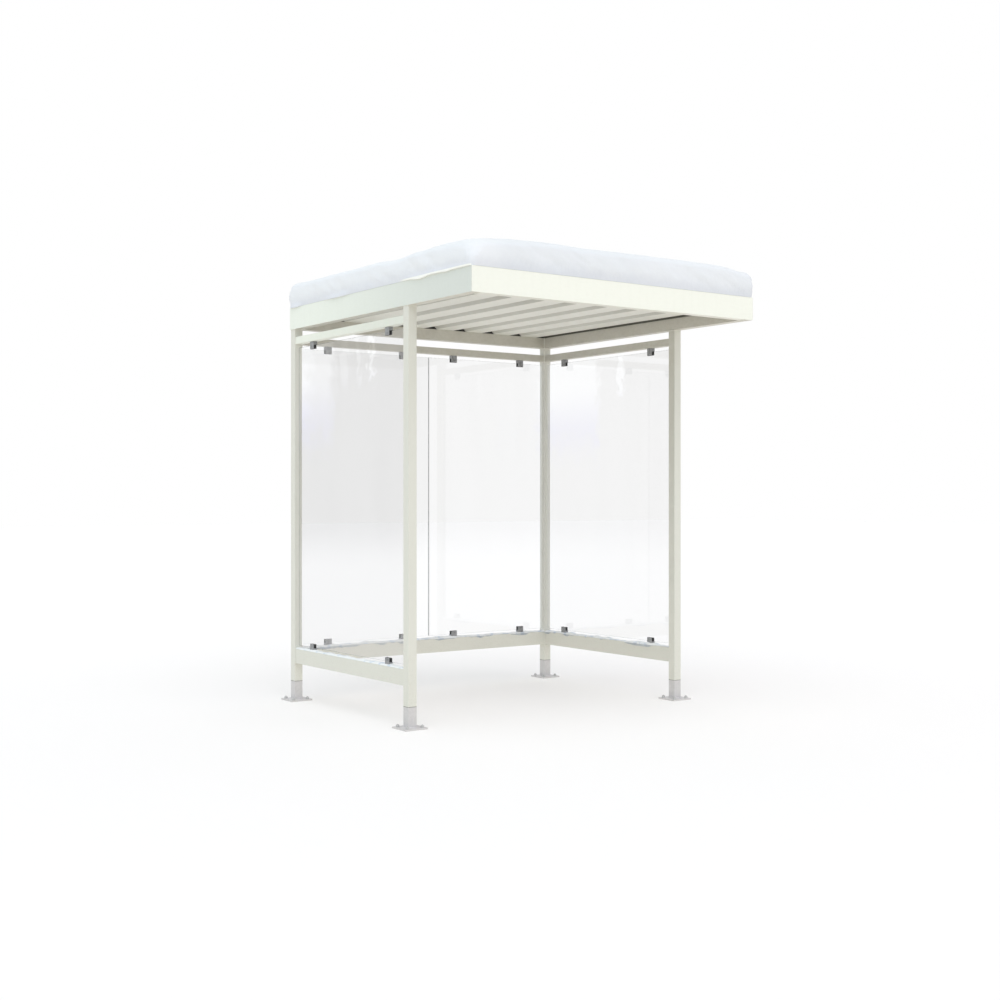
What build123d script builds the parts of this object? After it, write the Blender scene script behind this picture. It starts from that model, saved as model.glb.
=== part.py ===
from build123d import *
import os

# Smoking shelter: an open front, three glazed sides and a flat roof on four posts with bolted feet.
# Millimetres. +X runs to the right seen from the open front, +Y to the back wall, +Z up.
# The origin is the middle of the footprint, on the underside of the base plates.

# Frame over the outer faces of its posts, and how far the roof runs out past the front posts
frame_width = 2240.0
frame_depth = 1560.0
front_overhang = 690.0

# Depth of the base plates' underside below the paving, and height of the roof edge above the paving
foot_depth = 136.0
roof_clear_height = 2450.0

# Hollow sections: side or width by height, wall, and the tight rounding of their outer corners
section_corner = 2.0
post_side = 60.0
post_wall = 3.0
bottom_rail_width = 50.0
bottom_rail_height = 100.0
bottom_rail_wall = 3.0
bottom_rail_clear_height = 125.0
top_rail_width = 50.0
top_rail_height = 50.0
top_rail_wall = 3.0
top_rail_gap = 55.0
beam_width = 60.0
beam_height = 80.0
beam_wall = 3.0

# Feet: a square plate under each post, with four holes for anchor bolts
plate_side = 160.0
plate_thickness = 10.0
anchor_spacing = 110.0
anchor_hole_radius = 7.0

# Roof edge: a folded trim that stands out from the posts and turns in over the roof
fascia_height = 150.0
fascia_thickness = 3.0
fascia_proud = 5.0
fascia_return = 25.0

# Profiled roof sheet, ribs up, running from front to back
sheet_thickness = 1.0
rib_pitch = 260.0
rib_base = 114.0
rib_crest = 74.0
rib_height = 20.0
sheet_clearance = 2.0

# Glass panes and the gaps round them
glass_thickness = 8.0
glass_rail_gap = 25.0
glass_post_gap = 10.0
glass_seam = 4.0

# Clamps that hold the glass: a block with a slot, and where its middle is along a wall
clamp_length = 50.0
clamp_height = 50.0
clamp_thickness = 30.0
clamp_corner = 2.0
clamp_lining = 2.5
clamp_top_play = 3.0
clamp_from_corner = 280.0
clamp_from_seam = 220.0

# Snow lying on the roof and on the bottom rails
snow_height = 180.0
snow_bulge = 8.0
snow_corner = 60.0
snow_shoulder = 90.0
rail_snow_height = 12.0
rail_snow_inset = 3.0
snow_clearance = 0.3

# Levels, from the underside of the base plates
paving = foot_depth
bottom_rail_low = paving + bottom_rail_clear_height
bottom_rail_top = bottom_rail_low + bottom_rail_height
beam_low = paving + roof_clear_height
beam_top = beam_low + beam_height
fascia_top = beam_low + fascia_height
top_rail_top = beam_low - top_rail_gap
top_rail_low = top_rail_top - top_rail_height
glass_low = bottom_rail_top + glass_rail_gap
glass_top = top_rail_low - glass_rail_gap
crest_top = beam_top + rib_height + sheet_thickness

# Plan. The footprint runs from the front edge of the roof's snow to the back edge of the back base plates
plate_reach = (plate_side - post_side) / 2
front_reach = front_overhang + snow_bulge
footprint_depth = front_reach + frame_depth + max(plate_reach, fascia_proud + snow_bulge)
frame_right = frame_width / 2
frame_left = -frame_right
frame_front = front_reach - footprint_depth / 2
frame_back = frame_front + frame_depth
post_left = frame_left + post_side / 2
post_right = frame_right - post_side / 2
post_front = frame_front + post_side / 2
post_back = frame_back - post_side / 2
roof_left = frame_left - fascia_proud
roof_right = frame_right + fascia_proud
roof_front = frame_front - front_overhang
roof_back = frame_back + fascia_proud
beam_inset = fascia_thickness + beam_width / 2

UP = (0, 0, 1)
ALONG_X = (1, 0, 0)
ALONG_Y = (0, 1, 0)


def hollow_section(start, direction, across, up, wall, length):
    """A rectangular tube from the middle of one end, along one axis."""
    side = ALONG_Y if direction == ALONG_X else ALONG_X
    plane = Plane(origin=start, x_dir=side, z_dir=direction)
    outside = RectangleRounded(across, up, section_corner)
    inside = Rectangle(across - 2 * wall, up - 2 * wall)
    return extrude(plane * (outside - inside), length)


def box_between(low, high):
    """A block from its lowest to its highest corner."""
    size = [b - a for a, b in zip(low, high)]
    middle = [(a + b) / 2 for a, b in zip(low, high)]
    return Pos(*middle) * Box(*size)


def post(x, y):
    """A corner post from the top of its foot to the underside of the roof beams."""
    start = (x, y, paving)
    return hollow_section(start, UP, post_side, post_side, post_wall, beam_low - paving)


def foot(x, y):
    """A base plate with four anchor holes, and the stub of square tube welded on it."""
    plate = Box(plate_side, plate_side, plate_thickness, align=(Align.CENTER, Align.CENTER, Align.MIN))
    hole = Cylinder(anchor_hole_radius, plate_thickness, align=(Align.CENTER, Align.CENTER, Align.MIN))
    plate -= [at * hole for at in GridLocations(anchor_spacing, anchor_spacing, 2, 2)]
    stub_height = paving - plate_thickness
    start = (0, 0, plate_thickness)
    stub = hollow_section(start, UP, post_side, post_side, post_wall, stub_height)
    return Pos(x, y, 0) * (plate + stub)


def rail_along_x(y, low, across, up, wall):
    """A rail between the two back posts."""
    start = (post_left + post_side / 2, y, low + up / 2)
    return hollow_section(start, ALONG_X, across, up, wall, frame_width - 2 * post_side)


def rail_along_y(x, low, across, up, wall):
    """A rail between a front post and a back post."""
    start = (x, post_front + post_side / 2, low + up / 2)
    return hollow_section(start, ALONG_Y, across, up, wall, frame_depth - 2 * post_side)


def side_beam(x):
    """A roof beam over the full depth of the roof, inside the trim."""
    start = (x, roof_front + fascia_thickness, beam_low + beam_height / 2)
    length = roof_back - roof_front - 2 * fascia_thickness
    return hollow_section(start, ALONG_Y, beam_width, beam_height, beam_wall, length)


def cross_beam(y):
    """A roof beam from one side beam to the other."""
    reach = fascia_thickness + beam_width
    start = (roof_left + reach, y, beam_low + beam_height / 2)
    length = roof_right - roof_left - 2 * reach
    return hollow_section(start, ALONG_X, beam_width, beam_height, beam_wall, length)


def mitred_strip(start, end, depth, level, height):
    """A flat strip along one edge of the roof, cut at 45 degrees where it meets the next."""
    begin = Vector(*start)
    finish = Vector(*end)
    along = (finish - begin).normalized()
    inward = along.rotate(Axis.Z, 90)
    corners = [begin, finish, finish + (inward - along) * depth, begin + (inward + along) * depth]
    outline = make_face(Polyline(*corners, close=True))
    return Pos(0, 0, level) * extrude(outline, amount=height, dir=UP)


def fascia(start, end):
    """The roof's edge trim on one side: an upright face and a return over the roof."""
    face = mitred_strip(start, end, fascia_thickness, beam_low, fascia_height)
    turned_in = mitred_strip(start, end, fascia_return, fascia_top - fascia_thickness, fascia_thickness)
    return face + turned_in


def sheet_outline(half_width, level):
    """The points of one surface of the roof sheet, from left to right."""
    ribs_each_side = int((half_width - rib_base / 2) // rib_pitch)
    points = [(-half_width, level)]
    for number in range(-ribs_each_side, ribs_each_side + 1):
        middle = number * rib_pitch
        points.append((middle - rib_base / 2, level))
        points.append((middle - rib_crest / 2, level + rib_height))
        points.append((middle + rib_crest / 2, level + rib_height))
        points.append((middle + rib_base / 2, level))
    points.append((half_width, level))
    return points


def roof_sheet():
    """The profiled sheet, lying on the four beams inside the trim."""
    half_width = roof_right - fascia_thickness - sheet_clearance
    begin = roof_front + fascia_thickness + sheet_clearance
    length = roof_back - fascia_thickness - sheet_clearance - begin
    underside = sheet_outline(half_width, beam_top)
    top = sheet_outline(half_width, beam_top + sheet_thickness)
    corners = [(x, begin, z) for x, z in underside + top[::-1]]
    outline = make_face(Polyline(*corners, close=True))
    return extrude(outline, amount=length, dir=ALONG_Y)


def side_glass(x):
    """The pane of a side wall, in the middle of the posts' thickness."""
    low = (x - glass_thickness / 2, post_front + post_side / 2 + glass_post_gap, glass_low)
    high = (x + glass_thickness / 2, post_back - post_side / 2 - glass_post_gap, glass_top)
    return box_between(low, high)


def back_glass(side):
    """One of the back wall's two panes: side is -1 on the left and 1 on the right."""
    inner = side * glass_seam / 2
    outer = side * (frame_right - post_side - glass_post_gap)
    low = (min(inner, outer), post_back - glass_thickness / 2, glass_low)
    high = (max(inner, outer), post_back + glass_thickness / 2, glass_top)
    return box_between(low, high)


def clamp(base_thickness):
    """A glass clamp standing on its base, with its slot up and running along X."""
    block = Box(clamp_length, clamp_thickness, clamp_height, align=(Align.CENTER, Align.CENTER, Align.MIN))
    block = fillet(block.edges().filter_by(Axis.Z), clamp_corner)
    slot_width = glass_thickness + 2 * clamp_lining
    low = (-clamp_length, -slot_width / 2, base_thickness)
    high = (clamp_length, slot_width / 2, clamp_height * 2)
    return block - box_between(low, high)


def clamp_pair(x, y, turn):
    """The clamp on the bottom rail and the clamp under the top rail at one place along a wall."""
    standing = Pos(x, y, bottom_rail_top) * Rot(0, 0, turn) * clamp(glass_rail_gap)
    hanging = Pos(x, y, top_rail_low) * Rot(180, 0, turn) * clamp(glass_rail_gap - clamp_top_play)
    return standing, hanging


def roof_snow():
    """Snow that fills the tray of the roof and stands over its trim with rounded shoulders."""
    gap = fascia_return + snow_clearance
    filling_low = (roof_left + gap, roof_front + gap, crest_top)
    filling_high = (roof_right - gap, roof_back - gap, fascia_top + snow_height / 2)
    bank_low = (roof_left - snow_bulge, roof_front - snow_bulge, fascia_top)
    bank_high = (roof_right + snow_bulge, roof_back + snow_bulge, fascia_top + snow_height)
    bank = box_between(bank_low, bank_high)
    bank = fillet(bank.edges().filter_by(Axis.Z), snow_corner)
    bank = fillet(bank.faces().sort_by(Axis.Z)[-1].edges(), snow_shoulder)
    return bank + box_between(filling_low, filling_high)


def rail_snow():
    """Thin snow on the three bottom rails, open round the clamps."""
    half = bottom_rail_width / 2 - rail_snow_inset
    ends = post_side / 2 + snow_clearance
    level = bottom_rail_top
    top = level + rail_snow_height
    strips = []
    for x in (post_left, post_right):
        strip = box_between((x - half, post_front + ends, level), (x + half, post_back - ends, top))
        strips.append(strip - [around_clamp(x, y, clamp_thickness, clamp_length) for y in side_clamp_places])
    strip = box_between((post_left + ends, post_back - half, level), (post_right - ends, post_back + half, top))
    strips.append(strip - [around_clamp(x, post_back, clamp_length, clamp_thickness) for x in back_clamp_places])
    return Compound(children=strips)


def around_clamp(x, y, along_x, along_y):
    """The space that the snow leaves for a clamp's foot."""
    half_x = along_x / 2 + snow_clearance
    half_y = along_y / 2 + snow_clearance
    low = (x - half_x, y - half_y, bottom_rail_top)
    high = (x + half_x, y + half_y, bottom_rail_top + 2 * rail_snow_height)
    return box_between(low, high)


side_clamp_places = [frame_front + clamp_from_corner, frame_back - clamp_from_corner]
back_clamp_places = [frame_left + clamp_from_corner, -clamp_from_seam, clamp_from_seam, frame_right - clamp_from_corner]

nodes = {}

# Posts and their feet
for end, y in (("front", post_front), ("back", post_back)):
    for side, x in (("left", post_left), ("right", post_right)):
        nodes[f"{end}_{side}_post"] = post(x, y)
        nodes[f"{end}_{side}_foot"] = foot(x, y)

# Rails
bottom_section = (bottom_rail_low, bottom_rail_width, bottom_rail_height, bottom_rail_wall)
top_section = (top_rail_low, top_rail_width, top_rail_height, top_rail_wall)
for height, section in (("bottom", bottom_section), ("top", top_section)):
    nodes[f"left_{height}_rail"] = rail_along_y(post_left, *section)
    nodes[f"right_{height}_rail"] = rail_along_y(post_right, *section)
    nodes[f"back_{height}_rail"] = rail_along_x(post_back, *section)

# Roof
nodes["left_roof_beam"] = side_beam(roof_left + beam_inset)
nodes["right_roof_beam"] = side_beam(roof_right - beam_inset)
nodes["front_roof_beam"] = cross_beam(roof_front + beam_inset)
nodes["back_roof_beam"] = cross_beam(roof_back - beam_inset)
nodes["front_fascia"] = fascia((roof_left, roof_front), (roof_right, roof_front))
nodes["right_fascia"] = fascia((roof_right, roof_front), (roof_right, roof_back))
nodes["back_fascia"] = fascia((roof_right, roof_back), (roof_left, roof_back))
nodes["left_fascia"] = fascia((roof_left, roof_back), (roof_left, roof_front))
nodes["roof_sheet"] = roof_sheet()

# Glass
nodes["left_glass"] = side_glass(post_left)
nodes["right_glass"] = side_glass(post_right)
nodes["back_left_glass"] = back_glass(-1)
nodes["back_right_glass"] = back_glass(1)

# Clamps
for side, x in (("left", post_left), ("right", post_right)):
    for end, y in zip(("front", "back"), side_clamp_places):
        standing, hanging = clamp_pair(x, y, 90)
        nodes[f"{side}_bottom_clamp_{end}"] = standing
        nodes[f"{side}_top_clamp_{end}"] = hanging
for number, x in enumerate(back_clamp_places, start=1):
    standing, hanging = clamp_pair(x, post_back, 0)
    nodes[f"back_bottom_clamp_{number}"] = standing
    nodes[f"back_top_clamp_{number}"] = hanging

# Snow
nodes["roof_snow"] = roof_snow()
nodes["rail_snow"] = rail_snow()

os.makedirs("parts", exist_ok=True)
for name, shape in nodes.items():
    export_step(shape, f"parts/{name}.step")
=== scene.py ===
"""Finishes, fittings and snow of a smoking shelter, made round its fixed steel frame.

Metres, in the frame's own axes: +X runs to the right seen from the open front, +Y to the
back wall and +Z up. Places are read from the frame's nodes, and sizes are named fields.
"""

from __future__ import annotations

import logging
import math
from dataclasses import dataclass, field
from enum import Enum
from typing import Iterable, Iterator, Sequence, Union

import bmesh
import bpy
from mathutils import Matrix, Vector, noise


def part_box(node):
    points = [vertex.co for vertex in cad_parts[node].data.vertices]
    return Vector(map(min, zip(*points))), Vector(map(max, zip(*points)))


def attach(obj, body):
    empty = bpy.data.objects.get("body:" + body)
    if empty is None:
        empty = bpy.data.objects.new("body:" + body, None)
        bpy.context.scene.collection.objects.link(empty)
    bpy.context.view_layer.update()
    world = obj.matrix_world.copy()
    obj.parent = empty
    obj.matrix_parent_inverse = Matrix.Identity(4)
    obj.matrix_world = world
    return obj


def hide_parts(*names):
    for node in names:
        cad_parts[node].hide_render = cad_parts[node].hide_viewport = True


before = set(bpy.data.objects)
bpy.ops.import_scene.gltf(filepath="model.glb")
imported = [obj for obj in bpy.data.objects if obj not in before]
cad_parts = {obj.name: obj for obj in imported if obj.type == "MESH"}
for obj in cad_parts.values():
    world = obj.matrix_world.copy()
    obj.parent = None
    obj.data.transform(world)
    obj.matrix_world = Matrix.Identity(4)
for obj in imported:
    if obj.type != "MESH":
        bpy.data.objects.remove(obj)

LOG = logging.getLogger("shelter")
BODY = "root"
SLIVER = 0.0003

Colour = tuple[float, float, float]
Operand = Union["Wire", float, Colour]


class Axis(Enum):
    """An axis of the frame."""

    X = (1.0, 0.0, 0.0)
    Y = (0.0, 1.0, 0.0)
    Z = (0.0, 0.0, 1.0)

    @property
    def vector(self) -> Vector:
        """The axis as a unit vector."""
        return Vector(self.value)

    @property
    def others(self) -> tuple[Vector, Vector]:
        """The two axes square to this one, as unit vectors."""
        first, second = (axis.vector for axis in Axis if axis is not self)
        return first, second


class Wire:
    """An output socket that takes part in Python arithmetic.

    A number's socket adds Math nodes, a vector's adds Vector Math nodes and a colour's
    adds Mix nodes.
    """

    def __init__(self, graph: Graph, socket: bpy.types.NodeSocket) -> None:
        """Wraps a socket.

        Args:
            graph: The graph that the socket's node is in.
            socket: The output socket.
        """
        self.graph = graph
        self.socket = socket

    def _joined(self, operation: str, first: Operand, second: Operand) -> Wire:
        """Adds the node that joins two operands, of the kind that this socket asks for.

        Args:
            operation: The node's operation or blend type.
            first: The operand on the left.
            second: The operand on the right.

        Returns:
            The new node's output.
        """
        if self.socket.type == "RGBA":
            settings = {"data_type": "RGBA", "blend_type": operation}
            sockets = {"Factor_Float": 1.0, "A_Color": first, "B_Color": second}
            return self.graph.node("ShaderNodeMix", settings, sockets, "Result_Color")
        kind = "ShaderNodeVectorMath" if self.socket.type == "VECTOR" else "ShaderNodeMath"
        return self.graph.node(kind, {"operation": operation}, {0: first, 1: second})

    def __add__(self, other: Operand) -> Wire:
        """Sum."""
        return self._joined("ADD", self, other)

    def __radd__(self, other: Operand) -> Wire:
        """Sum, with the plain value on the left."""
        return self._joined("ADD", other, self)

    def __sub__(self, other: Operand) -> Wire:
        """Difference."""
        return self._joined("SUBTRACT", self, other)

    def __rsub__(self, other: Operand) -> Wire:
        """Difference, with the plain value on the left."""
        return self._joined("SUBTRACT", other, self)

    def __mul__(self, other: Operand) -> Wire:
        """Product."""
        return self._joined("MULTIPLY", self, other)

    def __rmul__(self, other: Operand) -> Wire:
        """Product, with the plain value on the left."""
        return self._joined("MULTIPLY", other, self)


class Graph:
    """The shader graph of a material or of the world."""

    def __init__(self, owner: bpy.types.ID) -> None:
        """Empties the owner's node tree.

        Args:
            owner: The material or world.
        """
        owner.use_nodes = True
        self.tree = owner.node_tree
        self.tree.nodes.clear()

    @staticmethod
    def _socket(sockets: bpy.types.bpy_prop_collection, key: str | int) -> bpy.types.NodeSocket:
        """Finds a socket by its place, its identifier or its name.

        Args:
            sockets: A node's inputs or outputs.
            key: The place, identifier or name.

        Returns:
            The socket.
        """
        if isinstance(key, str):
            for found in sockets:
                if found.identifier == key:
                    return found
        return sockets[key]

    def _fill(self, socket: bpy.types.NodeSocket, value: Operand) -> None:
        """Links a socket or sets its plain value.

        Args:
            socket: The input socket.
            value: The wire, number, vector or colour that it takes.
        """
        if isinstance(value, Wire):
            self.tree.links.new(value.socket, socket)
        elif socket.type == "RGBA":
            colour = value if isinstance(value, tuple) else (value, value, value)
            socket.default_value = (*colour, 1.0)
        elif socket.type == "VECTOR" and not isinstance(value, tuple):
            socket.default_value = (value, value, value)
        else:
            socket.default_value = value

    def node(
        self,
        kind: str,
        settings: dict[str, object] | None = None,
        inputs: dict[str | int, Operand] | None = None,
        output: str | int = 0,
    ) -> Wire:
        """Adds any node.

        Args:
            kind: The node's type.
            settings: Its settings, which are set first.
            inputs: Its sockets' values and links.
            output: The output that is wanted.

        Returns:
            That output.
        """
        made = self.tree.nodes.new(kind)
        for name, value in (settings or {}).items():
            setattr(made, name, value)
        for key, value in (inputs or {}).items():
            self._fill(self._socket(made.inputs, key), value)
        if not made.outputs:
            return Wire(self, made.inputs[0])
        return Wire(self, self._socket(made.outputs, output))

    def place(self) -> Wire:
        """The point on the surface, in the frame's metres."""
        return self.node("ShaderNodeTexCoord", output="Object")

    def part(self, vector: Wire, axis: Axis) -> Wire:
        """A vector's share on one axis."""
        return self.node("ShaderNodeSeparateXYZ", inputs={0: vector}, output=axis.name)

    def height(self) -> Wire:
        """The point's height over the underside of the base plates."""
        return self.part(self.place(), Axis.Z)

    def facing(self) -> Wire:
        """The way that the surface faces, in the frame's axes."""
        return self.node("ShaderNodeNewGeometry", output="Normal")

    def cloud(self, scale: float, stretch: Colour = (1.0, 1.0, 1.0), detail: float = 3.0) -> Wire:
        """Noise from about 0.3 to 0.7.

        Args:
            scale: Patches in a metre.
            stretch: Factors on the three axes.
            detail: How many finer layers it has.

        Returns:
            The noise.
        """
        sockets = {"Vector": self.place() * stretch, "Scale": scale, "Detail": detail}
        return self.node("ShaderNodeTexNoise", inputs=sockets, output="Fac")

    def between(self, value: Wire, low: float, high: float) -> Wire:
        """A soft step, 0 at the low value and 1 at the high one.

        Args:
            value: What is measured.
            low: Where the step begins.
            high: Where it ends.

        Returns:
            The step, from 0 to 1.
        """
        settings = {"interpolation_type": "SMOOTHSTEP", "clamp": True}
        sockets = {"Value": value, "From Min": low, "From Max": high}
        return self.node("ShaderNodeMapRange", settings, sockets)

    def blend(self, share: Operand, first: Operand, second: Operand) -> Wire:
        """A mix of two colours.

        Args:
            share: The second colour's share.
            first: The first colour.
            second: The second colour.

        Returns:
            The mixed colour.
        """
        sockets = {"Factor_Float": share, "A_Color": first, "B_Color": second}
        return self.node("ShaderNodeMix", {"data_type": "RGBA"}, sockets, "Result_Color")

    def edge(self, radius: float) -> Wire:
        """Where the surface turns a sharp corner.

        Args:
            radius: How far from the corner it reaches.

        Returns:
            A mask, 0 on flat faces.
        """
        rounded = self.node("ShaderNodeBevel", {"samples": 4}, {"Radius": radius})
        return self.between(1 - self.dot(rounded, self.facing()), 0.01, 0.22)

    def dot(self, first: Wire, second: Operand) -> Wire:
        """The dot product of two vectors."""
        sockets = {0: first, 1: second}
        return self.node("ShaderNodeVectorMath", {"operation": "DOT_PRODUCT"}, sockets, "Value")

    def recess(self, reach: float) -> Wire:
        """Where the surface meets another in an inner corner.

        Args:
            reach: How far from the corner it reaches.

        Returns:
            A mask, 0 on open faces.
        """
        sockets = {"Distance": reach}
        open_share = self.node("ShaderNodeAmbientOcclusion", {"samples": 6}, sockets, "AO")
        return self.between(1 - open_share, 0.25, 0.75)

    def relief(self, height: Wire, depth: float, corner: float = 0.0) -> Wire:
        """A surface normal from a relief.

        Args:
            height: The relief, from 0 to 1.
            depth: The relief's depth in metres.
            corner: How round sharp corners look.

        Returns:
            The normal.
        """
        sockets: dict[str | int, Operand] = {"Height": height, "Distance": depth, "Strength": 1.0}
        if corner:
            sockets["Normal"] = self.node("ShaderNodeBevel", {"samples": 4}, {"Radius": corner})
        return self.node("ShaderNodeBump", inputs=sockets)

    def surface(self, sockets: dict[str | int, Operand]) -> Wire:
        """The surface shader.

        Args:
            sockets: The values and links of its sockets.

        Returns:
            The shader.
        """
        return self.node("ShaderNodeBsdfPrincipled", inputs=sockets)

    def end(self, shader: Wire, kind: str = "ShaderNodeOutputMaterial") -> None:
        """Closes the graph with its output node."""
        self.node(kind, inputs={"Surface": shader})


class Finish:
    """A finish that makes its material at the first call for it.

    Attributes:
        name: The material's name.
    """

    name: str

    def draw(self, graph: Graph) -> Wire:
        """Draws the finish in an empty graph and returns its shader."""
        raise NotImplementedError

    def material(self) -> bpy.types.Material:
        """Makes the finish's material, or finds it again.

        Returns:
            The material.
        """
        made = bpy.data.materials.get(self.name)
        if made is None:
            made = bpy.data.materials.new(self.name)
            graph = Graph(made)
            graph.end(self.draw(graph))
        return made


@dataclass(frozen=True)
class PowderCoat(Finish):
    """Powder coat on steel, with water runs, ground splashes, rubbed edges and painted shade in corners.

    Attributes:
        name: The material's name.
        colour: The clean coat.
        faded: The coat where it has faded.
        grime_and_corner_shade: Dirt that runs down in wet weather, also painted shade in inner corners.
        rubbed: The coat where its edges are worn thin.
        splash_from: Height where splashes end.
        splash_full: Height where they are strongest.
        gloss: Middle roughness.
        streaked: How strong the runs of water are.
        mottled: How strong the mottling of fine grime is.
        corner_shade: How strong the painted shade in inner corners is.
        splashed: How strong the splashes are.
        worn: How strong the wear on the edges is.
        worn_reach: How far from an edge it reaches.
        corner: How round the edges look.
        peel: Depth of the coat's fine orange peel.
    """

    name: str
    colour: Colour
    faded: Colour
    grime_and_corner_shade: Colour = (0.46, 0.45, 0.38)
    rubbed: Colour = (0.90, 0.91, 0.88)
    splash_from: float = 0.62
    splash_full: float = 0.14
    gloss: float = 0.42
    streaked: float = 0.020
    mottled: float = 0.020
    corner_shade: float = 0.16
    splashed: float = 0.22
    worn: float = 0.45
    worn_reach: float = 0.003
    corner: float = 0.0012
    peel: float = 0.00006

    def splashes(self, graph: Graph) -> Wire:
        """Where splashes from the ground have dried."""
        low = 1 - graph.between(graph.height(), self.splash_full, self.splash_from)
        return low * graph.between(graph.cloud(150.0, detail=2.0), 0.52, 0.72)

    def coat(self, graph: Graph) -> Wire:
        """The coat's colour, with its grime, painted shade in inner corners and rubbed edges.

        Args:
            graph: The material's graph.

        Returns:
            The colour.
        """
        patches = graph.cloud(2.6, detail=5.0)
        runs = graph.between(graph.cloud(1.0, stretch=(27.0, 27.0, 1.9), detail=5.0), 0.44, 0.74)
        edge = graph.edge(self.worn_reach) * graph.between(graph.cloud(26.0), 0.42, 0.62)
        coat = graph.blend(patches, self.colour, self.faded)
        mottle = graph.between(graph.cloud(34.0, stretch=(1.0, 1.0, 1.6), detail=4.0), 0.40, 0.66)
        coat = graph.blend(self.streaked * runs + self.mottled * mottle, coat, self.grime_and_corner_shade)
        # Painted shade: inner corners darken by ambient occlusion; splashes near the ground are dirt.
        corner_shade_and_splashes = self.corner_shade * graph.recess(0.045) + self.splashed * self.splashes(graph)
        coat = graph.blend(corner_shade_and_splashes, coat, self.grime_and_corner_shade)
        return graph.blend(self.worn * edge, coat, self.rubbed)

    def draw(self, graph: Graph) -> Wire:
        """Draws the coat.

        Args:
            graph: The material's graph.

        Returns:
            The shader.
        """
        peel = graph.cloud(620.0, detail=1.0)
        rough = self.gloss - 0.05 + 0.10 * graph.cloud(2.6, detail=5.0) + 0.14 * self.splashes(graph)
        return graph.surface({
            "Base Color": self.coat(graph),
            "Roughness": rough,
            "Normal": graph.relief(peel, self.peel, self.corner),
        })


@dataclass(frozen=True)
class FrontShadedCoat(PowderCoat):
    """Powder coat of a long piece that is darker towards its front end, as painted shade.

    Attributes:
        begin: Place of its back end on the frame's Y axis, where there is no painted shade.
        full: Place of its front end, where the painted shade is full.
        shade_at_front: The share of the coat's colour that is left there.
    """

    begin: float = 1.10
    full: float = -1.14
    shade_at_front: Colour = (0.80, 0.805, 0.83)

    def coat(self, graph: Graph) -> Wire:
        """The coat's colour, darker towards the front as painted shade.

        Args:
            graph: The material's graph.

        Returns:
            The colour.
        """
        # Painted shade: the coat darkens towards the front end.
        place = graph.part(graph.place(), Axis.Y)
        share = graph.between(-1 * place, -self.begin, -self.full)
        return super().coat(graph) * graph.blend(share, 1.0, self.shade_at_front)


@dataclass(frozen=True)
class FrameCoat(PowderCoat):
    """Powder coat of the open frame, with painted shade on its inner faces, deeper up high and to the
    front.

    Attributes:
        shade_low: The share of the coat's colour that the painted shade leaves on an inner face low down.
        shade_high: The same high up.
        shade_back: Place on the frame's Y axis where the painted shade begins.
        shade_front: Place where it is full, towards the open front.
        low: Height up to which the painted shade is as low down.
        high: Height from which it is as high up.
    """

    shade_low: Colour = (0.940, 0.940, 0.935)
    shade_high: Colour = (0.845, 0.837, 0.815)
    shade_back: float = 0.90
    shade_front: float = -0.10
    low: float = 0.3
    high: float = 2.2

    def coat(self, graph: Graph) -> Wire:
        """The coat's colour, darker on the inner faces as painted shade.

        Args:
            graph: The material's graph.

        Returns:
            The colour.
        """
        side, place = (graph.part(graph.place(), axis) for axis in (Axis.X, Axis.Y))
        # Painted shade: inner faces darken, more higher up and towards the open front.
        inner = graph.between(-1 * side * graph.part(graph.facing(), Axis.X), 0.5, 0.8)
        share = inner * graph.between(-1 * place, -self.shade_back, -self.shade_front)
        rise = graph.between(graph.height(), self.low, self.high)
        darkening = graph.blend(rise, self.shade_low, self.shade_high)
        return super().coat(graph) * graph.blend(share, 1.0, darkening)


@dataclass(frozen=True)
class SheetCoat(PowderCoat):
    """Powder coat of the profiled sheet, with dirt and painted shade in its flutes, and painted shade at
    the front.

    Attributes:
        flute_low: Height of the pans' underside.
        flute_high: Height over which a flute is fully darkened.
        darkening: The share of the coat's colour that is left in the flutes, under dirt and painted
            shade.
        front_flute_shade: The same at the open front, where the flutes have more painted shade.
        front_flute_shading: Places on the frame's Y axis where that begins and is full.
        front_end_shade: The share of the coat's colour that the painted shade leaves at the open front.
        front_end_shading: Places on the Y axis where that begins and is full.
    """

    flute_low: float = 2.6662
    flute_high: float = 2.6690
    darkening: Colour = (0.75, 0.745, 0.740)
    front_flute_shade: Colour = (0.635, 0.630, 0.625)
    front_flute_shading: tuple[float, float] = (-0.10, -0.90)
    front_end_shade: Colour = (0.885, 0.890, 0.905)
    front_end_shading: tuple[float, float] = (0.70, -0.55)

    def coat(self, graph: Graph) -> Wire:
        """The coat's colour, darker in the flutes and towards the front, as painted shade with some dirt.

        Args:
            graph: The material's graph.

        Returns:
            The colour.
        """
        # Painted shade with some dirt: the flutes are darker, more so near the front, and the sheet
        # darkens to the front.
        in_flute = graph.between(graph.height(), self.flute_low, self.flute_high)
        place = graph.part(graph.place(), Axis.Y)
        front_flute_shading = graph.between(-1 * place, -self.front_flute_shading[0], -self.front_flute_shading[1])
        front_end_shading = graph.between(-1 * place, -self.front_end_shading[0], -self.front_end_shading[1])
        flutes = graph.blend(in_flute, 1.0, graph.blend(front_flute_shading, self.darkening, self.front_flute_shade))
        return super().coat(graph) * flutes * graph.blend(front_end_shading, 1.0, self.front_end_shade)


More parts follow.
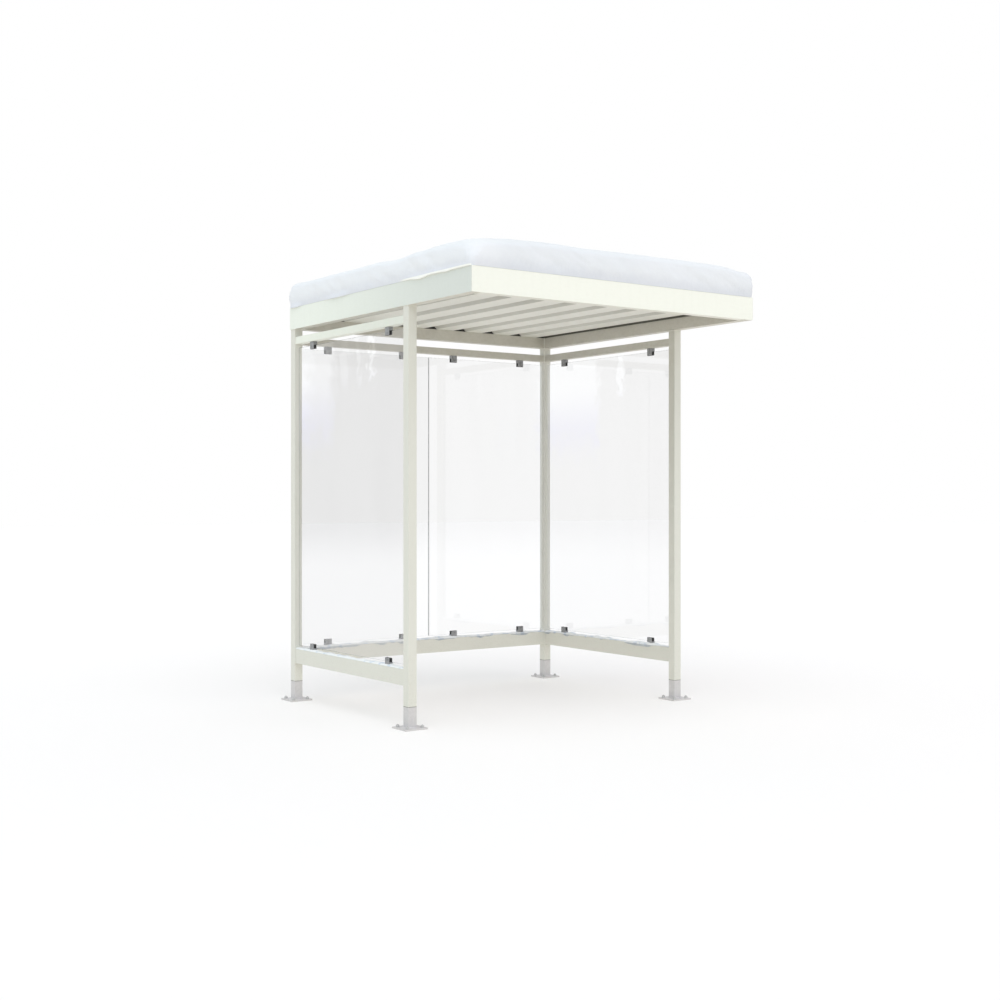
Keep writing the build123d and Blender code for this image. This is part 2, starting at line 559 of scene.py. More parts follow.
@dataclass(frozen=True)
class Galvanising(Finish):
    """Hot-dip zinc on steel, with spangle, matt patches and painted shade in inner corners.

    Attributes:
        name: The material's name.
        bright: The zinc's light crystals.
        matt_zinc_and_shade: Its crystals that weathering has made matt, also the painted shade in inner
            corners.
        crystals: Crystals in a metre.
    """

    name: str = "hot_dip_zinc"
    bright: Colour = (0.665, 0.650, 0.665)
    matt_zinc_and_shade: Colour = (0.640, 0.625, 0.640)
    crystals: float = 85.0

    def draw(self, graph: Graph) -> Wire:
        """Draws the zinc.

        Args:
            graph: The material's graph.

        Returns:
            The shader.
        """
        sockets = {"Vector": graph.place(), "Scale": self.crystals, "Randomness": 1.0}
        spangle = graph.node("ShaderNodeTexVoronoi", inputs=sockets, output="Color")
        crystal = graph.node("ShaderNodeSeparateColor", inputs={0: spangle}, output="Red")
        cast = graph.cloud(9.0, detail=4.0)
        share = graph.between(0.55 * crystal + 0.45 * cast, 0.15, 0.75)
        zinc = graph.blend(share, self.matt_zinc_and_shade, self.bright)
        # Painted shade: the zinc turns matt and darker in inner corners, by ambient occlusion.
        zinc = graph.blend(0.30 * graph.recess(0.02), zinc, self.matt_zinc_and_shade)
        zinc = graph.blend(0.5 * graph.edge(0.002), zinc, self.bright)
        return graph.surface({
            "Base Color": zinc,
            "Metallic": 0.25,
            "Roughness": 0.60 + 0.14 * (1 - share),
            "Normal": graph.relief(graph.cloud(300.0), 0.00008, corner=0.0012),
        })


@dataclass(frozen=True)
class Metal(Finish):
    """Bare or plated metal of the fittings, with fine brushing and painted shade in inner corners.

    Attributes:
        name: The material's name.
        colour: The clean metal.
        tarnish_and_shade: The metal where it has darkened, also the painted shade in inner corners.
        roughness: Middle roughness.
        bare: How much of it is bare metal and not a matt coating.
    """

    name: str
    colour: Colour
    tarnish_and_shade: Colour
    roughness: float = 0.36
    bare: float = 0.35

    def draw(self, graph: Graph) -> Wire:
        """Draws the metal.

        Args:
            graph: The material's graph.

        Returns:
            The shader.
        """
        brushing = graph.cloud(240.0, stretch=(1.0, 1.0, 0.06), detail=2.0)
        stains = graph.between(graph.cloud(60.0, detail=4.0), 0.45, 0.70)
        metal = graph.blend(0.45 * stains, self.colour, self.tarnish_and_shade)
        # Painted shade: the metal darkens in inner corners, by ambient occlusion.
        metal = graph.blend(0.55 * graph.recess(0.012), metal, self.tarnish_and_shade)
        metal = metal * (0.92 + 0.16 * brushing)
        return graph.surface({
            "Base Color": metal,
            "Metallic": self.bare,
            "Roughness": self.roughness - 0.06 + 0.12 * brushing + 0.10 * stains,
            "Normal": graph.relief(brushing, 0.00004, corner=0.0010),
        })


@dataclass(frozen=True)
class Rubber(Finish):
    """Rubber or closed-cell foam of the linings, fillers and seals.

    Attributes:
        name: The material's name.
        colour: The clean rubber.
        bloom: The grey veil on it.
        pores: Pores in a metre.
        pore_depth: How deep they are.
    """

    name: str
    colour: Colour = (0.022, 0.022, 0.023)
    bloom: Colour = (0.075, 0.076, 0.078)
    pores: float = 700.0
    pore_depth: float = 0.0001

    def draw(self, graph: Graph) -> Wire:
        """Draws the rubber.

        Args:
            graph: The material's graph.

        Returns:
            The shader.
        """
        veil = graph.between(graph.cloud(45.0, detail=4.0), 0.40, 0.75)
        pore = graph.cloud(self.pores, detail=2.0)
        return graph.surface({
            "Base Color": graph.blend(0.6 * veil, self.colour, self.bloom),
            "Roughness": 0.62 + 0.2 * veil,
            "Normal": graph.relief(pore, self.pore_depth),
        })


@dataclass(frozen=True)
class ReflectedBand:
    """One painted band of reflected light down a pane.

    Attributes:
        place: Where it lies, along the pane.
        reach: How wide it is to each side.
        strength: How much lighter it makes the glass.
    """

    place: float
    reach: float = 0.050
    strength: float = 1.0


@dataclass(frozen=True)
class Glass(Finish):
    """Toughened glass with ground edges and painted reflections: darker higher up, lighter in a patch and
    bands.

    Attributes:
        name: The material's name.
        across: The axis through the pane.
        clear: What the glass lets through low down.
        veil: What it lets through higher up, where the painted reflection darkens it most.
        reflected_patch: Where an upper corner is lighter, as a painted reflection, as distances along the
            pane.
        toward: The way along the pane to that corner.
        runs: The painted bands of reflected light down it.
        clean: What the glass lets through at the top of the lighter patch and bands.
        patch_low: What it lets through lower down.
        patch_fade_from: Height up to which it lets that much through.
        patch_fade_to: Height from which it lets through as much as at its top.
        patch: Heights where the lighter corner begins and is full.
        upper: Heights where the bands end and where they are full.
        edge: The ground edges.
        veil_low: Height under which the pane has no darker veil.
        veil_high: Height over which the darker veil is full.
    """

    name: str
    across: Axis
    clear: Colour
    veil: Colour
    reflected_patch: tuple[float, float]
    toward: Colour = (0.0, 1.0, 0.0)
    runs: tuple[ReflectedBand, ...] = (ReflectedBand(0.040), ReflectedBand(0.205, 0.030, 0.45), ReflectedBand(0.390, 0.075, 0.40))
    clean: Colour = (0.99, 0.995, 1.0)
    patch_low: Colour = (0.885, 0.885, 0.945)
    patch_fade_from: float = 1.85
    patch_fade_to: float = 2.30
    patch: tuple[float, float] = (1.62, 2.02)
    upper: tuple[float, float] = (2.12, 2.20)
    edge: Colour = (0.50, 0.55, 0.53)
    veil_low: float = 0.90
    veil_high: float = 1.30

    def painted_reflections(self, graph: Graph) -> Wire:
        """Where the pane is lighter as a painted reflection: a corner patch and bands, all with ragged
        edges.

        Args:
            graph: The material's graph.

        Returns:
            A mask, 1 where the painted reflection is full.
        """
        ragged = graph.cloud(13.0, detail=5.0) - 0.5
        place = graph.dot(graph.place(), self.toward) + 0.22 * ragged
        height = graph.height() + 0.30 * ragged
        reflected_patch = graph.between(place, *self.reflected_patch) * graph.between(height, *self.patch)
        upper = graph.between(height, *self.upper)
        for run in self.runs:
            off_run = graph.node("ShaderNodeMath", {"operation": "ABSOLUTE"}, {0: place - run.place})
            share = run.strength * (1 - graph.between(off_run, 0.3 * run.reach, run.reach)) * upper
            reflected_patch = graph.node("ShaderNodeMath", {"operation": "MAXIMUM"}, {0: reflected_patch, 1: share})
        return reflected_patch

    def draw(self, graph: Graph) -> Wire:
        """Draws the glass.

        Args:
            graph: The material's graph.

        Returns:
            The shader.
        """
        normal = graph.node("ShaderNodeTexCoord", output="Normal")
        along = graph.dot(normal, self.across.value)
        ground = 1 - graph.between(along * along, 0.25, 0.75)
        # Painted reflection: the glass lets less through higher up, in soft vertical streaks.
        reflection_streaks = graph.between(graph.cloud(1.0, stretch=(5.2, 5.2, 0.8), detail=3.0), 0.35, 0.65)
        rise = graph.between(graph.height(), self.veil_low, self.veil_high)
        pane = graph.blend(rise * (0.86 + 0.14 * reflection_streaks), self.clear, self.veil)
        # Painted reflection: a lighter corner patch and bands, bluer and darker lower down.
        lit = graph.between(graph.height(), self.patch_fade_from, self.patch_fade_to)
        clean = graph.blend(lit, self.patch_low, self.clean)
        pane = graph.blend(self.painted_reflections(graph), pane, clean)
        body = graph.surface({
            "Base Color": graph.blend(ground, pane, self.edge),
            "Roughness": 0.28 * ground,
            "Transmission Weight": 1.0,
            "IOR": 1.52,
        })
        lamp = graph.node("ShaderNodeLightPath", output="Is Shadow Ray")
        open_air = graph.node("ShaderNodeBsdfTransparent", inputs={0: (0.93, 0.94, 0.94)})
        return graph.node("ShaderNodeMixShader", inputs={0: lamp, 1: body, 2: open_air})


@dataclass(frozen=True)
class SnowCover(Finish):
    """Settled snow with a granular crust, whiter on top and bluer low down as painted shade.

    Attributes:
        name: The material's name.
        bright: The snow's colour on its top.
        shade: Its colour low down, as painted shade.
        low: Height under which the painted shade is strongest.
        high: Height over which it has mostly gone.
        lumps: Soft lumps in a metre.
    """

    name: str
    bright: Colour
    shade: Colour
    low: float
    high: float
    lumps: float = 9.0

    def local_tint(self, graph: Graph, snow: Wire) -> Wire:
        """The snow's colour with its local tints: unchanged on a low rail."""
        return snow

    def draw(self, graph: Graph) -> Wire:
        """Draws the snow.

        Args:
            graph: The material's graph.

        Returns:
            The shader.
        """
        lump = graph.cloud(self.lumps, detail=5.0)
        crust = graph.cloud(55.0, stretch=(1.0, 1.0, 0.6), detail=4.0)
        grain = graph.cloud(260.0, detail=3.0)
        # Painted shade: the snow turns bluer and darker lower down, broken up at random by lumps and
        # crust.
        rise = graph.between(graph.height(), self.low, self.high)
        share = graph.between(0.70 * rise + 0.40 * lump + 0.30 * crust, 0.20, 1.05)
        relief = 0.55 * lump + 0.30 * crust + 0.15 * grain
        return graph.surface({
            "Base Color": self.local_tint(graph, graph.blend(share, self.shade, self.bright)),
            "Roughness": 0.78 + 0.12 * grain,
            "Normal": graph.relief(relief, 0.006),
            "Specular IOR Level": 0.25,
        })


@dataclass(frozen=True)
class BankCover(SnowCover):
    """Snow of the roof's bank, with painted shade along its front and painted light on its top and left
    rim.

    Attributes:
        front_bank_shade: The share of the colour that the painted shade leaves along the front.
        bank_shade_across: Places on the frame's X axis where that shade begins and is full.
        bank_shade_along: The same on the Y axis.
        crest: The share of the colour that is left on upward faces, which are less blue as painted light.
        rim: The near-white colour, a painted highlight, of the rim that hangs over the left trim.
        rim_top: Height where that rim ends.
        rim_along: Places on the Y axis where it begins and is full.
        rim_out: The same on the X axis.
    """

    front_bank_shade: Colour = (0.930, 0.940, 0.945)
    bank_shade_across: tuple[float, float] = (-1.13, -0.85)
    bank_shade_along: tuple[float, float] = (-0.70, -1.05)
    crest: Colour = (0.990, 0.988, 0.960)
    rim: Colour = (0.98, 0.98, 0.97)
    rim_top: float = 2.748
    rim_along: tuple[float, float] = (-0.34, -0.44)
    rim_out: tuple[float, float] = (-1.119, -1.125)

    def local_tint(self, graph: Graph, snow: Wire) -> Wire:
        """The snow's colour, with painted shade along the front, painted light on top and a painted
        highlight on the rim.

        Args:
            graph: The material's graph.
            snow: The snow's colour so far.

        Returns:
            The colour.
        """
        across, along = (graph.part(graph.place(), axis) for axis in (Axis.X, Axis.Y))
        # Painted shade: the bank is darker along its front, broken up in random patches.
        patchy = graph.between(graph.cloud(2.2, detail=2.0), 0.35, 0.65)
        share = graph.between(across, *self.bank_shade_across) * (1 - 0.35 * patchy)
        share = share * graph.between(-1 * along, -self.bank_shade_along[0], -self.bank_shade_along[1])
        # Painted light: upward faces are less blue.
        upward = graph.between(graph.part(graph.facing(), Axis.Z), 0.35, 0.85)
        snow = snow * graph.blend(upward, 1.0, self.crest)
        # Painted highlight: the rim over the left trim is near white.
        low = 1 - graph.between(graph.height(), self.rim_top - 0.005, self.rim_top)
        rim = low * graph.between(-1 * along, -self.rim_along[0], -self.rim_along[1])
        rim = rim * graph.between(-1 * across, -self.rim_out[0], -self.rim_out[1])
        return graph.blend(rim, snow * graph.blend(share, 1.0, self.front_bank_shade), self.rim)


@dataclass(frozen=True)
class RailCover(SnowCover):
    """Snow of the bottom rails, with bluish patches of painted shade on its top.

    Attributes:
        patch_shade: The share of the colour that is left in those patches.
    """

    patch_shade: Colour = (0.80, 0.84, 0.91)

    def local_tint(self, graph: Graph, snow: Wire) -> Wire:
        """The snow's colour, with its patches of painted shade."""
        # Painted shade: bluish patches placed at random.
        patches = graph.between(graph.cloud(17.0, detail=3.0), 0.535, 0.615)
        return snow * graph.blend(patches, 1.0, self.patch_shade)


FRAME_PAINT = FrameCoat("white_powder_coat", (0.728, 0.724, 0.678), (0.746, 0.744, 0.706))
# Painted shade: a darker copy of the frame's coat for the pieces under the roof; its mottling is random
# tone.
SHADED_FRAME_PAINT = PowderCoat(
    "sheltered_powder_coat", (0.572, 0.553, 0.502), (0.594, 0.576, 0.532), mottled=0.24
)
# Painted light: the left top rail gets a lighter, cooler copy of the coat, darkening to the front as
# painted shade.
LIT_TOP_RAIL_PAINT = FrontShadedCoat(
    "left_rail_powder_coat",
    (0.855, 0.880, 0.820),
    (0.870, 0.895, 0.845),
    full=-0.45,
    shade_at_front=(0.89, 0.89, 0.89),
)
# Painted light: the front and back trim get a lighter copy of the white coat, for the light on the front.
LIT_TRIM_PAINT = PowderCoat("trim_powder_coat", (0.925, 0.935, 0.885), (0.935, 0.945, 0.895))
# Painted light and shade: the side trim gets a cooler, darker copy, for the cool left light, and darkens
# to the front.
SHADED_SIDE_TRIM_PAINT = FrontShadedCoat("side_trim_powder_coat", (0.868, 0.908, 0.860), (0.882, 0.922, 0.880))
# Painted light: the sheet's coat is lighter than the frame's, to stand in for the light thrown up under
# the roof.
SHEET_PAINT = SheetCoat("sheet_powder_coat", (0.860, 0.858, 0.805), (0.870, 0.868, 0.820), gloss=0.48)
ZINC = Galvanising()
CLAMP_STEEL = Metal("clamp_metal", (0.31, 0.315, 0.33), (0.12, 0.12, 0.125))
BOLT_STEEL = Metal("bolt_metal", (0.60, 0.60, 0.605), (0.44, 0.44, 0.43), roughness=0.46, bare=0.25)
LINING = Rubber("lining_rubber")
# The flute fillers are black foam; their black also stands in for the shade in the flute ends over the
# beams.
FOAM = Rubber("filler_foam", (0.020, 0.020, 0.019), (0.05, 0.05, 0.048), 320.0, 0.0005)
# Painted shade: the dark foam strip along each side beam stands in for the shade between sheet and beam.
SHADOW_STRIP_FOAM = Rubber("edge_foam", (0.085, 0.085, 0.070), (0.13, 0.13, 0.11), 320.0, 0.0005)
# Painted shadow: the joint seal's dark colour stands in for the contact shadow at the paving line.
SHADOW_SEAL = Rubber("joint_shadow_seal", (0.16, 0.16, 0.16), (0.24, 0.24, 0.235))
# Each pane's darker veil, lighter corner patch and bands are painted reflections.
PANES = {
    "left_glass": Glass(
        "left_pane", Axis.X, (0.925, 0.925, 0.925), (0.87, 0.87, 0.87), (0.46, 0.64)
    ),
    "right_glass": Glass(
        "right_pane", Axis.X, (0.965, 0.965, 0.965), (0.905, 0.905, 0.905), (0.36, 0.48),
        runs=(ReflectedBand(0.16),),
    ),
    "back_left_glass": Glass(
        "back_left_pane", Axis.Y, (0.985, 0.985, 0.985), (0.88, 0.88, 0.88), (0.90, 1.10),
        (-1.0, 0.0, 0.0), (),
    ),
    "back_right_glass": Glass(
        "back_right_pane", Axis.Y, (0.99, 0.99, 0.99), (0.925, 0.925, 0.925), (0.95, 1.15),
        (1.0, 0.0, 0.0), (),
    ),
}
# Painted shade: the bank's lower sides take the bluer shade colour.
ROOF_SNOW = BankCover("roof_snow_cover", (0.872, 0.887, 0.952), (0.770, 0.789, 0.876), 2.72, 2.85)
# Painted shade: snow drooping under a rail's top takes the dark shade colour.
RAIL_SNOW = RailCover(
    "rail_snow_cover", (0.93, 0.945, 0.975), (0.47, 0.50, 0.545), 0.3585, 0.364, lumps=24.0
)


def dress(node: str, finish: Finish) -> None:
    """Gives a node of the frame its finish.

    Args:
        node: The node's name.
        finish: The finish.
    """
    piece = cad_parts[node]
    if not piece.material_slots:
        piece.data.materials.append(None)
    for slot in piece.material_slots:
        slot.material = finish.material()


def smooth(share: float) -> float:
    """A soft step from 0 to 1."""
    share = min(1.0, max(0.0, share))
    return share * share * (3 - 2 * share)


def mixed(first: float, second: float, share: float) -> float:
    """A value between two others."""
    return first + (second - first) * share


def along_stations(values: Sequence[float], share: float) -> float:
    """The value at a place along evenly spaced stations, with soft turns.

    Args:
        values: The value at each station.
        share: The place, from 0 at the first station to 1 at the last.

    Returns:
        The value there.
    """
    place = min(1.0, max(0.0, share)) * (len(values) - 1)
    before = min(int(place), len(values) - 2)
    return mixed(values[before], values[before + 1], smooth(place - before))


class Form:
    """The points and faces of one piece while it is being made."""

    def __init__(self) -> None:
        """Starts with nothing."""
        self.points: list[Vector] = []
        self.faces: list[tuple[int, ...]] = []

    def ring(self, points: Iterable[Vector]) -> list[int]:
        """Adds points.

        Args:
            points: The points.

        Returns:
            Their numbers.
        """
        start = len(self.points)
        self.points.extend(Vector(point) for point in points)
        return list(range(start, len(self.points)))

    def skin(self, rings: Sequence[Sequence[int]], closed: bool = True) -> None:
        """Joins each ring to the next with four-sided faces.

        Args:
            rings: Rings of as many points each.
            closed: Whether a ring's last point is joined to its first.
        """
        for lower, upper in zip(rings, rings[1:]):
            count = len(lower)
            for place in range(count if closed else count - 1):
                after = (place + 1) % count
                self.faces.append((lower[place], lower[after], upper[after], upper[place]))

    def cap(self, ring: Sequence[int]) -> None:
        """Closes a ring with one flat face."""
        self.faces.append(tuple(ring))

    def body(self, rings: Sequence[Sequence[int]]) -> None:
        """Joins rings and closes both ends.

        Args:
            rings: Rings of as many points each, from one end to the other.
        """
        self.skin(rings)
        self.cap(rings[0])
        self.cap(rings[-1])

    def turned(self, foot: Vector, outline: Sequence[tuple[float, float]], sides: int) -> None:
        """Adds an upright turned body, closed at both ends.

        Args:
            foot: The middle of its lower end.
            outline: Its radii and heights, from the lower end to the upper one.
            sides: How many sides it has.
        """
        turns = [2 * math.pi * side / sides for side in range(sides)]
        ways = [Vector((math.cos(turn), math.sin(turn), 0)) for turn in turns]
        rings = []
        for radius, height in outline:
            middle = foot + Vector((0, 0, height))
            rings.append(self.ring(middle + way * radius for way in ways))
        self.body(rings)

    def piece(
        self, name: str, finish: Finish, slot: str | None = None, crease: float = 40.0
    ) -> bpy.types.Object:
        """Makes the piece, on the frame's body.

        Args:
            name: The piece's name.
            finish: Its finish.
            slot: The record's material slot, if it takes its finish from one; not used.
            crease: Angle in degrees over which an edge stays sharp.

        Returns:
            The piece.
        """
        mesh = bpy.data.meshes.new(name)
        mesh.from_pydata(self.points, [], self.faces)
        work = bmesh.new()
        work.from_mesh(mesh)
        bmesh.ops.recalc_face_normals(work, faces=work.faces)
        work.to_mesh(mesh)
        work.free()
        mesh.shade_smooth()
        mesh.set_sharp_from_angle(angle=math.radians(crease))
        mesh.materials.append(finish.material())
        made = bpy.data.objects.new(name, mesh)
        bpy.context.scene.collection.objects.link(made)
        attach(made, BODY)
        return made


def round_outline(
    width: float, height: float, corner: float, spacing: float
) -> Iterator[tuple[float, float, float, float]]:
    """Points round a rectangle with round corners.

    Args:
        width: Its whole width.
        height: Its whole height.
        corner: The radius of its corners.
        spacing: About how far apart the points are.

    Yields:
        Each point's place across and up, and the outward direction there.
    """
    half_width = width / 2 - corner
    half_height = height / 2 - corner
    arc_steps = max(2, round(corner * math.pi / 2 / spacing))
    for quarter in range(4):
        start = quarter * math.pi / 2
        middle_x = half_width * (1 if quarter in (0, 3) else -1)
        middle_y = half_height * (1 if quarter in (0, 1) else -1)
        for step in range(arc_steps + 1):
            angle = start + math.pi / 2 * step / arc_steps
            across, up = math.cos(angle), math.sin(angle)
            yield middle_x + corner * across, middle_y + corner * up, across, up
        run = 2 * (half_width if quarter in (0, 2) else half_height)
        across, up = round(math.cos(angle)), round(math.sin(angle))
        run_steps = max(1, round(run / spacing))
        begin_x, begin_y = middle_x + corner * across, middle_y + corner * up
        for step in range(1, run_steps):
            gone = run * step / run_steps
            yield begin_x - up * gone, begin_y + across * gone, across, up


@dataclass(frozen=True)
class Seam:
    """A bead that runs round the end of a hollow section.

    Attributes:
        middle: The middle of the section's end.
        along: The section's axis.
        width: The section's size on the first axis across.
        height: Its size on the second axis across.
        corner: The radius of its corners.
        radius: The bead's radius.
        ripple: Length of one ripple along the bead, or 0 for a smooth one.
        spacing: How far apart the bead's rings are.
        sides: How many sides the bead has.
    """

    middle: Vector
    along: Axis
    width: float
    height: float
    corner: float = 0.002
    radius: float = 0.003
    ripple: float = 0.0045
    spacing: float = 0.0016
    sides: int = 8

    def lay(self, form: Form) -> None:
        """Adds the bead to a form.

        Args:
            form: The form that it is added to.
        """
        first, second = self.along.others
        rings = []
        outline = round_outline(self.width, self.height, self.corner, self.spacing)
        for number, (x, y, out_x, out_y) in enumerate(outline):
            outward = first * out_x + second * out_y
            centre = self.middle + first * x + second * y
            radius = self.radius
            if self.ripple:
                wave = abs(math.sin(math.pi * number * self.spacing / self.ripple))
                radius *= 0.86 + 0.20 * wave + 0.10 * noise.noise(centre * 90)
            turns = [2 * math.pi * side / self.sides for side in range(self.sides)]
            round_bead = [outward * math.cos(turn) + self.along.vector * math.sin(turn) for turn in turns]
            rings.append(form.ring(centre + way * radius for way in round_bead))
        form.skin([*rings, rings[0]])


@dataclass
class Frame:
    """The posts, rails and roof beams, with the weld seams at their joints.

    Attributes:
        posts: Names of the corner posts.
        walls: Names of the walls that have rails.
        levels: Where a wall's two rails are.
        edges: Names of the roof's edges.
        sheltered: Names of the pieces under the roof that get the darker coat, as painted shade.
    """

    posts: tuple[str, ...] = ("front_left", "front_right", "back_left", "back_right")
    walls: tuple[str, ...] = ("left", "right", "back")
    levels: tuple[str, ...] = ("bottom", "top")
    edges: tuple[str, ...] = ("left", "right", "front", "back")
    sheltered: tuple[str, ...] = (
        "left_roof_beam", "right_roof_beam", "back_roof_beam", "right_top_rail", "back_top_rail",
    )

    def dress(self) -> None:
        """Paints every post, rail and beam."""
        names = [f"{post}_post" for post in self.posts]
        names += [f"{wall}_{level}_rail" for wall in self.walls for level in self.levels]
        names += [f"{edge}_roof_beam" for edge in self.edges]
        for name in names:
            dress(name, FRAME_PAINT)
        # Painted shade: the pieces under the roof get the darker copy of the coat.
        for name in self.sheltered:
            dress(name, SHADED_FRAME_PAINT)
        dress("left_top_rail", LIT_TOP_RAIL_PAINT)

    def end_seams(self, node: str, along: Axis) -> bpy.types.Object:
        """Makes the seams at a rail's or beam's two ends.

        Args:
            node: The rail or beam.
            along: Its axis.

        Returns:
            The piece.
        """
        low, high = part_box(node)
        first, second = along.others
        size = high - low
        form = Form()
        for end in (low, high):
            middle = (low + high) / 2
            middle += along.vector * (end - middle).dot(along.vector)
            Seam(middle, along, size.dot(first), size.dot(second)).lay(form)
        return form.piece(f"{node}_welds", FRAME_PAINT, "frame_paint")

    def head_seam(self, post: str) -> bpy.types.Object:
        """Makes the seam between a post and the roof beam on it.

        Args:
            post: The post's corner.

        Returns:
            The piece.
        """
        low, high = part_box(f"{post}_post")
        form = Form()
        middle = Vector(((low.x + high.x) / 2, (low.y + high.y) / 2, high.z))
        Seam(middle, Axis.Z, high.x - low.x, high.y - low.y).lay(form)
        return form.piece(f"{post}_head_weld", FRAME_PAINT, "frame_paint")

    def build(self) -> list[bpy.types.Object]:
        """Dresses the frame and makes its seams.

        Returns:
            The seams.
        """
        self.dress()
        made = []
        for wall in self.walls:
            along = Axis.X if wall == "back" else Axis.Y
            made += [self.end_seams(f"{wall}_{level}_rail", along) for level in self.levels]
        made += [self.end_seams(f"{edge}_roof_beam", Axis.X) for edge in ("front", "back")]
        made += [self.head_seam(post) for post in self.posts]
        return made


@dataclass
class Foot:
    """One foot: its plate and stub, with anchor bolts, the weld at the stub and the joint's seal, dark as
    a painted shadow.

    Attributes:
        corner: Which corner of the frame it is under.
        plate: The plate's thickness.
        stub: The stub's side.
        anchor_reach: From the stub's middle to a bolt, on each axis.
        stud_radius: The anchor stud's radius.
        stud_top: Height of its tip.
        thread_pitch: Its thread's pitch.
        thread_depth: Its thread's depth.
        washer_radius: The washer's outer radius.
        washer_height: Its thickness.
        nut_flat: Half of the nut's width across flats.
        nut_height: The nut's height.
        nut_turn: How far each nut is turned from the one before.
        weld: The weld's radius at the plate.
        weld_ripple: Length of one of its ripples.
        seal: The radius of the joint's seal, whose dark colour is a painted contact shadow.
    """

    corner: str
    plate: float = 0.010
    stub: float = 0.060
    anchor_reach: float = 0.055
    stud_radius: float = 0.006
    stud_top: float = 0.0275
    thread_pitch: float = 0.00175
    thread_depth: float = 0.0006
    washer_radius: float = 0.0120
    washer_height: float = 0.0025
    nut_flat: float = 0.0095
    nut_height: float = 0.0108
    nut_turn: float = 1.9
    weld: float = 0.0042
    weld_ripple: float = 0.006
    seal: float = 0.0020

    def stud(self, form: Form, foot: Vector) -> None:
        """Adds a threaded stud, with a helical thread.

        Args:
            form: The form that it is added to.
            foot: The middle of its lower end.
        """
        sides, rings_per_turn = 20, 6
        rise = self.thread_pitch / rings_per_turn
        count = int((self.stud_top - foot.z) / rise)
        rings = []
        for level in range(count + 1):
            points = []
            for side in range(sides):
                turn = side / sides
                phase = (level / rings_per_turn - turn) % 1.0
                tip = max(0.0, level - (count - 3)) * 0.0005
                radius = self.stud_radius - self.thread_depth * abs(2 * phase - 1) - tip
                angle = 2 * math.pi * turn
                across, along = radius * math.cos(angle), radius * math.sin(angle)
                points.append(foot + Vector((across, along, level * rise)))
            rings.append(form.ring(points))
        form.body(rings)

    def nut(self, form: Form, foot: Vector, spin: float) -> None:
        """Adds a hexagon nut with chamfered corners.

        Args:
            form: The form that it is added to.
            foot: The middle of its lower face.
            spin: How far it is turned.
        """
        sides, chamfer = 48, 0.0012
        top = self.nut_height
        levels = ((0.0, 1.02), (chamfer, 1.20), (top - chamfer, 1.20), (top, 1.02))
        rings = []
        for height, reach in levels:
            points = []
            for side in range(sides):
                angle = 2 * math.pi * side / sides
                from_flat = (angle + math.pi / 6) % (math.pi / 3) - math.pi / 6
                radius = self.nut_flat * min(1 / math.cos(from_flat), reach)
                at = angle + spin
                points.append(foot + Vector((radius * math.cos(at), radius * math.sin(at), height)))
            rings.append(form.ring(points))
        form.body(rings)

    def washer(self, form: Form, foot: Vector) -> None:
        """Adds a washer with cut rims.

        Args:
            form: The form that it is added to.
            foot: The middle of its lower face.
        """
        rim = 0.0004
        radius, height = self.washer_radius, self.washer_height
        outline = ((radius - rim, 0.0), (radius, rim), (radius, height - rim), (radius - rim, height))
        form.turned(foot, outline, 32)

    def anchors(self, middle: Vector) -> bpy.types.Object:
        """Makes the four anchor bolts.

        Args:
            middle: The middle of the plate's underside.

        Returns:
            The piece.
        """
        form = Form()
        places = [(x, y) for x in (-1, 1) for y in (-1, 1)]
        for number, (x, y) in enumerate(places):
            at = middle + Vector((x * self.anchor_reach, y * self.anchor_reach, 0))
            self.stud(form, at + Vector((0, 0, SLIVER)))
            self.washer(form, at + Vector((0, 0, self.plate)))
            seat = at + Vector((0, 0, self.plate + self.washer_height))
            self.nut(form, seat, 0.3 + self.nut_turn * number)
        return form.piece(f"{self.corner}_anchor_bolts", BOLT_STEEL, crease=28.0)

    def build(self) -> list[bpy.types.Object]:
        """Dresses the foot and makes its fittings.

        Returns:
            The fittings.
        """
        node = f"{self.corner}_foot"
        dress(node, ZINC)
        low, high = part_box(node)
        middle = Vector(((low.x + high.x) / 2, (low.y + high.y) / 2, 0.0))
        weld = Form()
        at_plate = middle + Vector((0, 0, self.plate))
        Seam(at_plate, Axis.Z, self.stub, self.stub, radius=self.weld, ripple=self.weld_ripple).lay(weld)
        # Painted shadow: the dark seal ring at the joint stands in for a contact shadow.
        seal = Form()
        at_joint = middle + Vector((0, 0, high.z))
        inside = self.stub - self.seal
        Seam(at_joint, Axis.Z, inside, inside, radius=self.seal, ripple=0.0).lay(seal)
        return [
            self.anchors(middle),
            weld.piece(f"{self.corner}_plate_weld", ZINC, "galvanised_steel"),
            seal.piece(f"{self.corner}_joint_shadow_seal", SHADOW_SEAL),
        ]


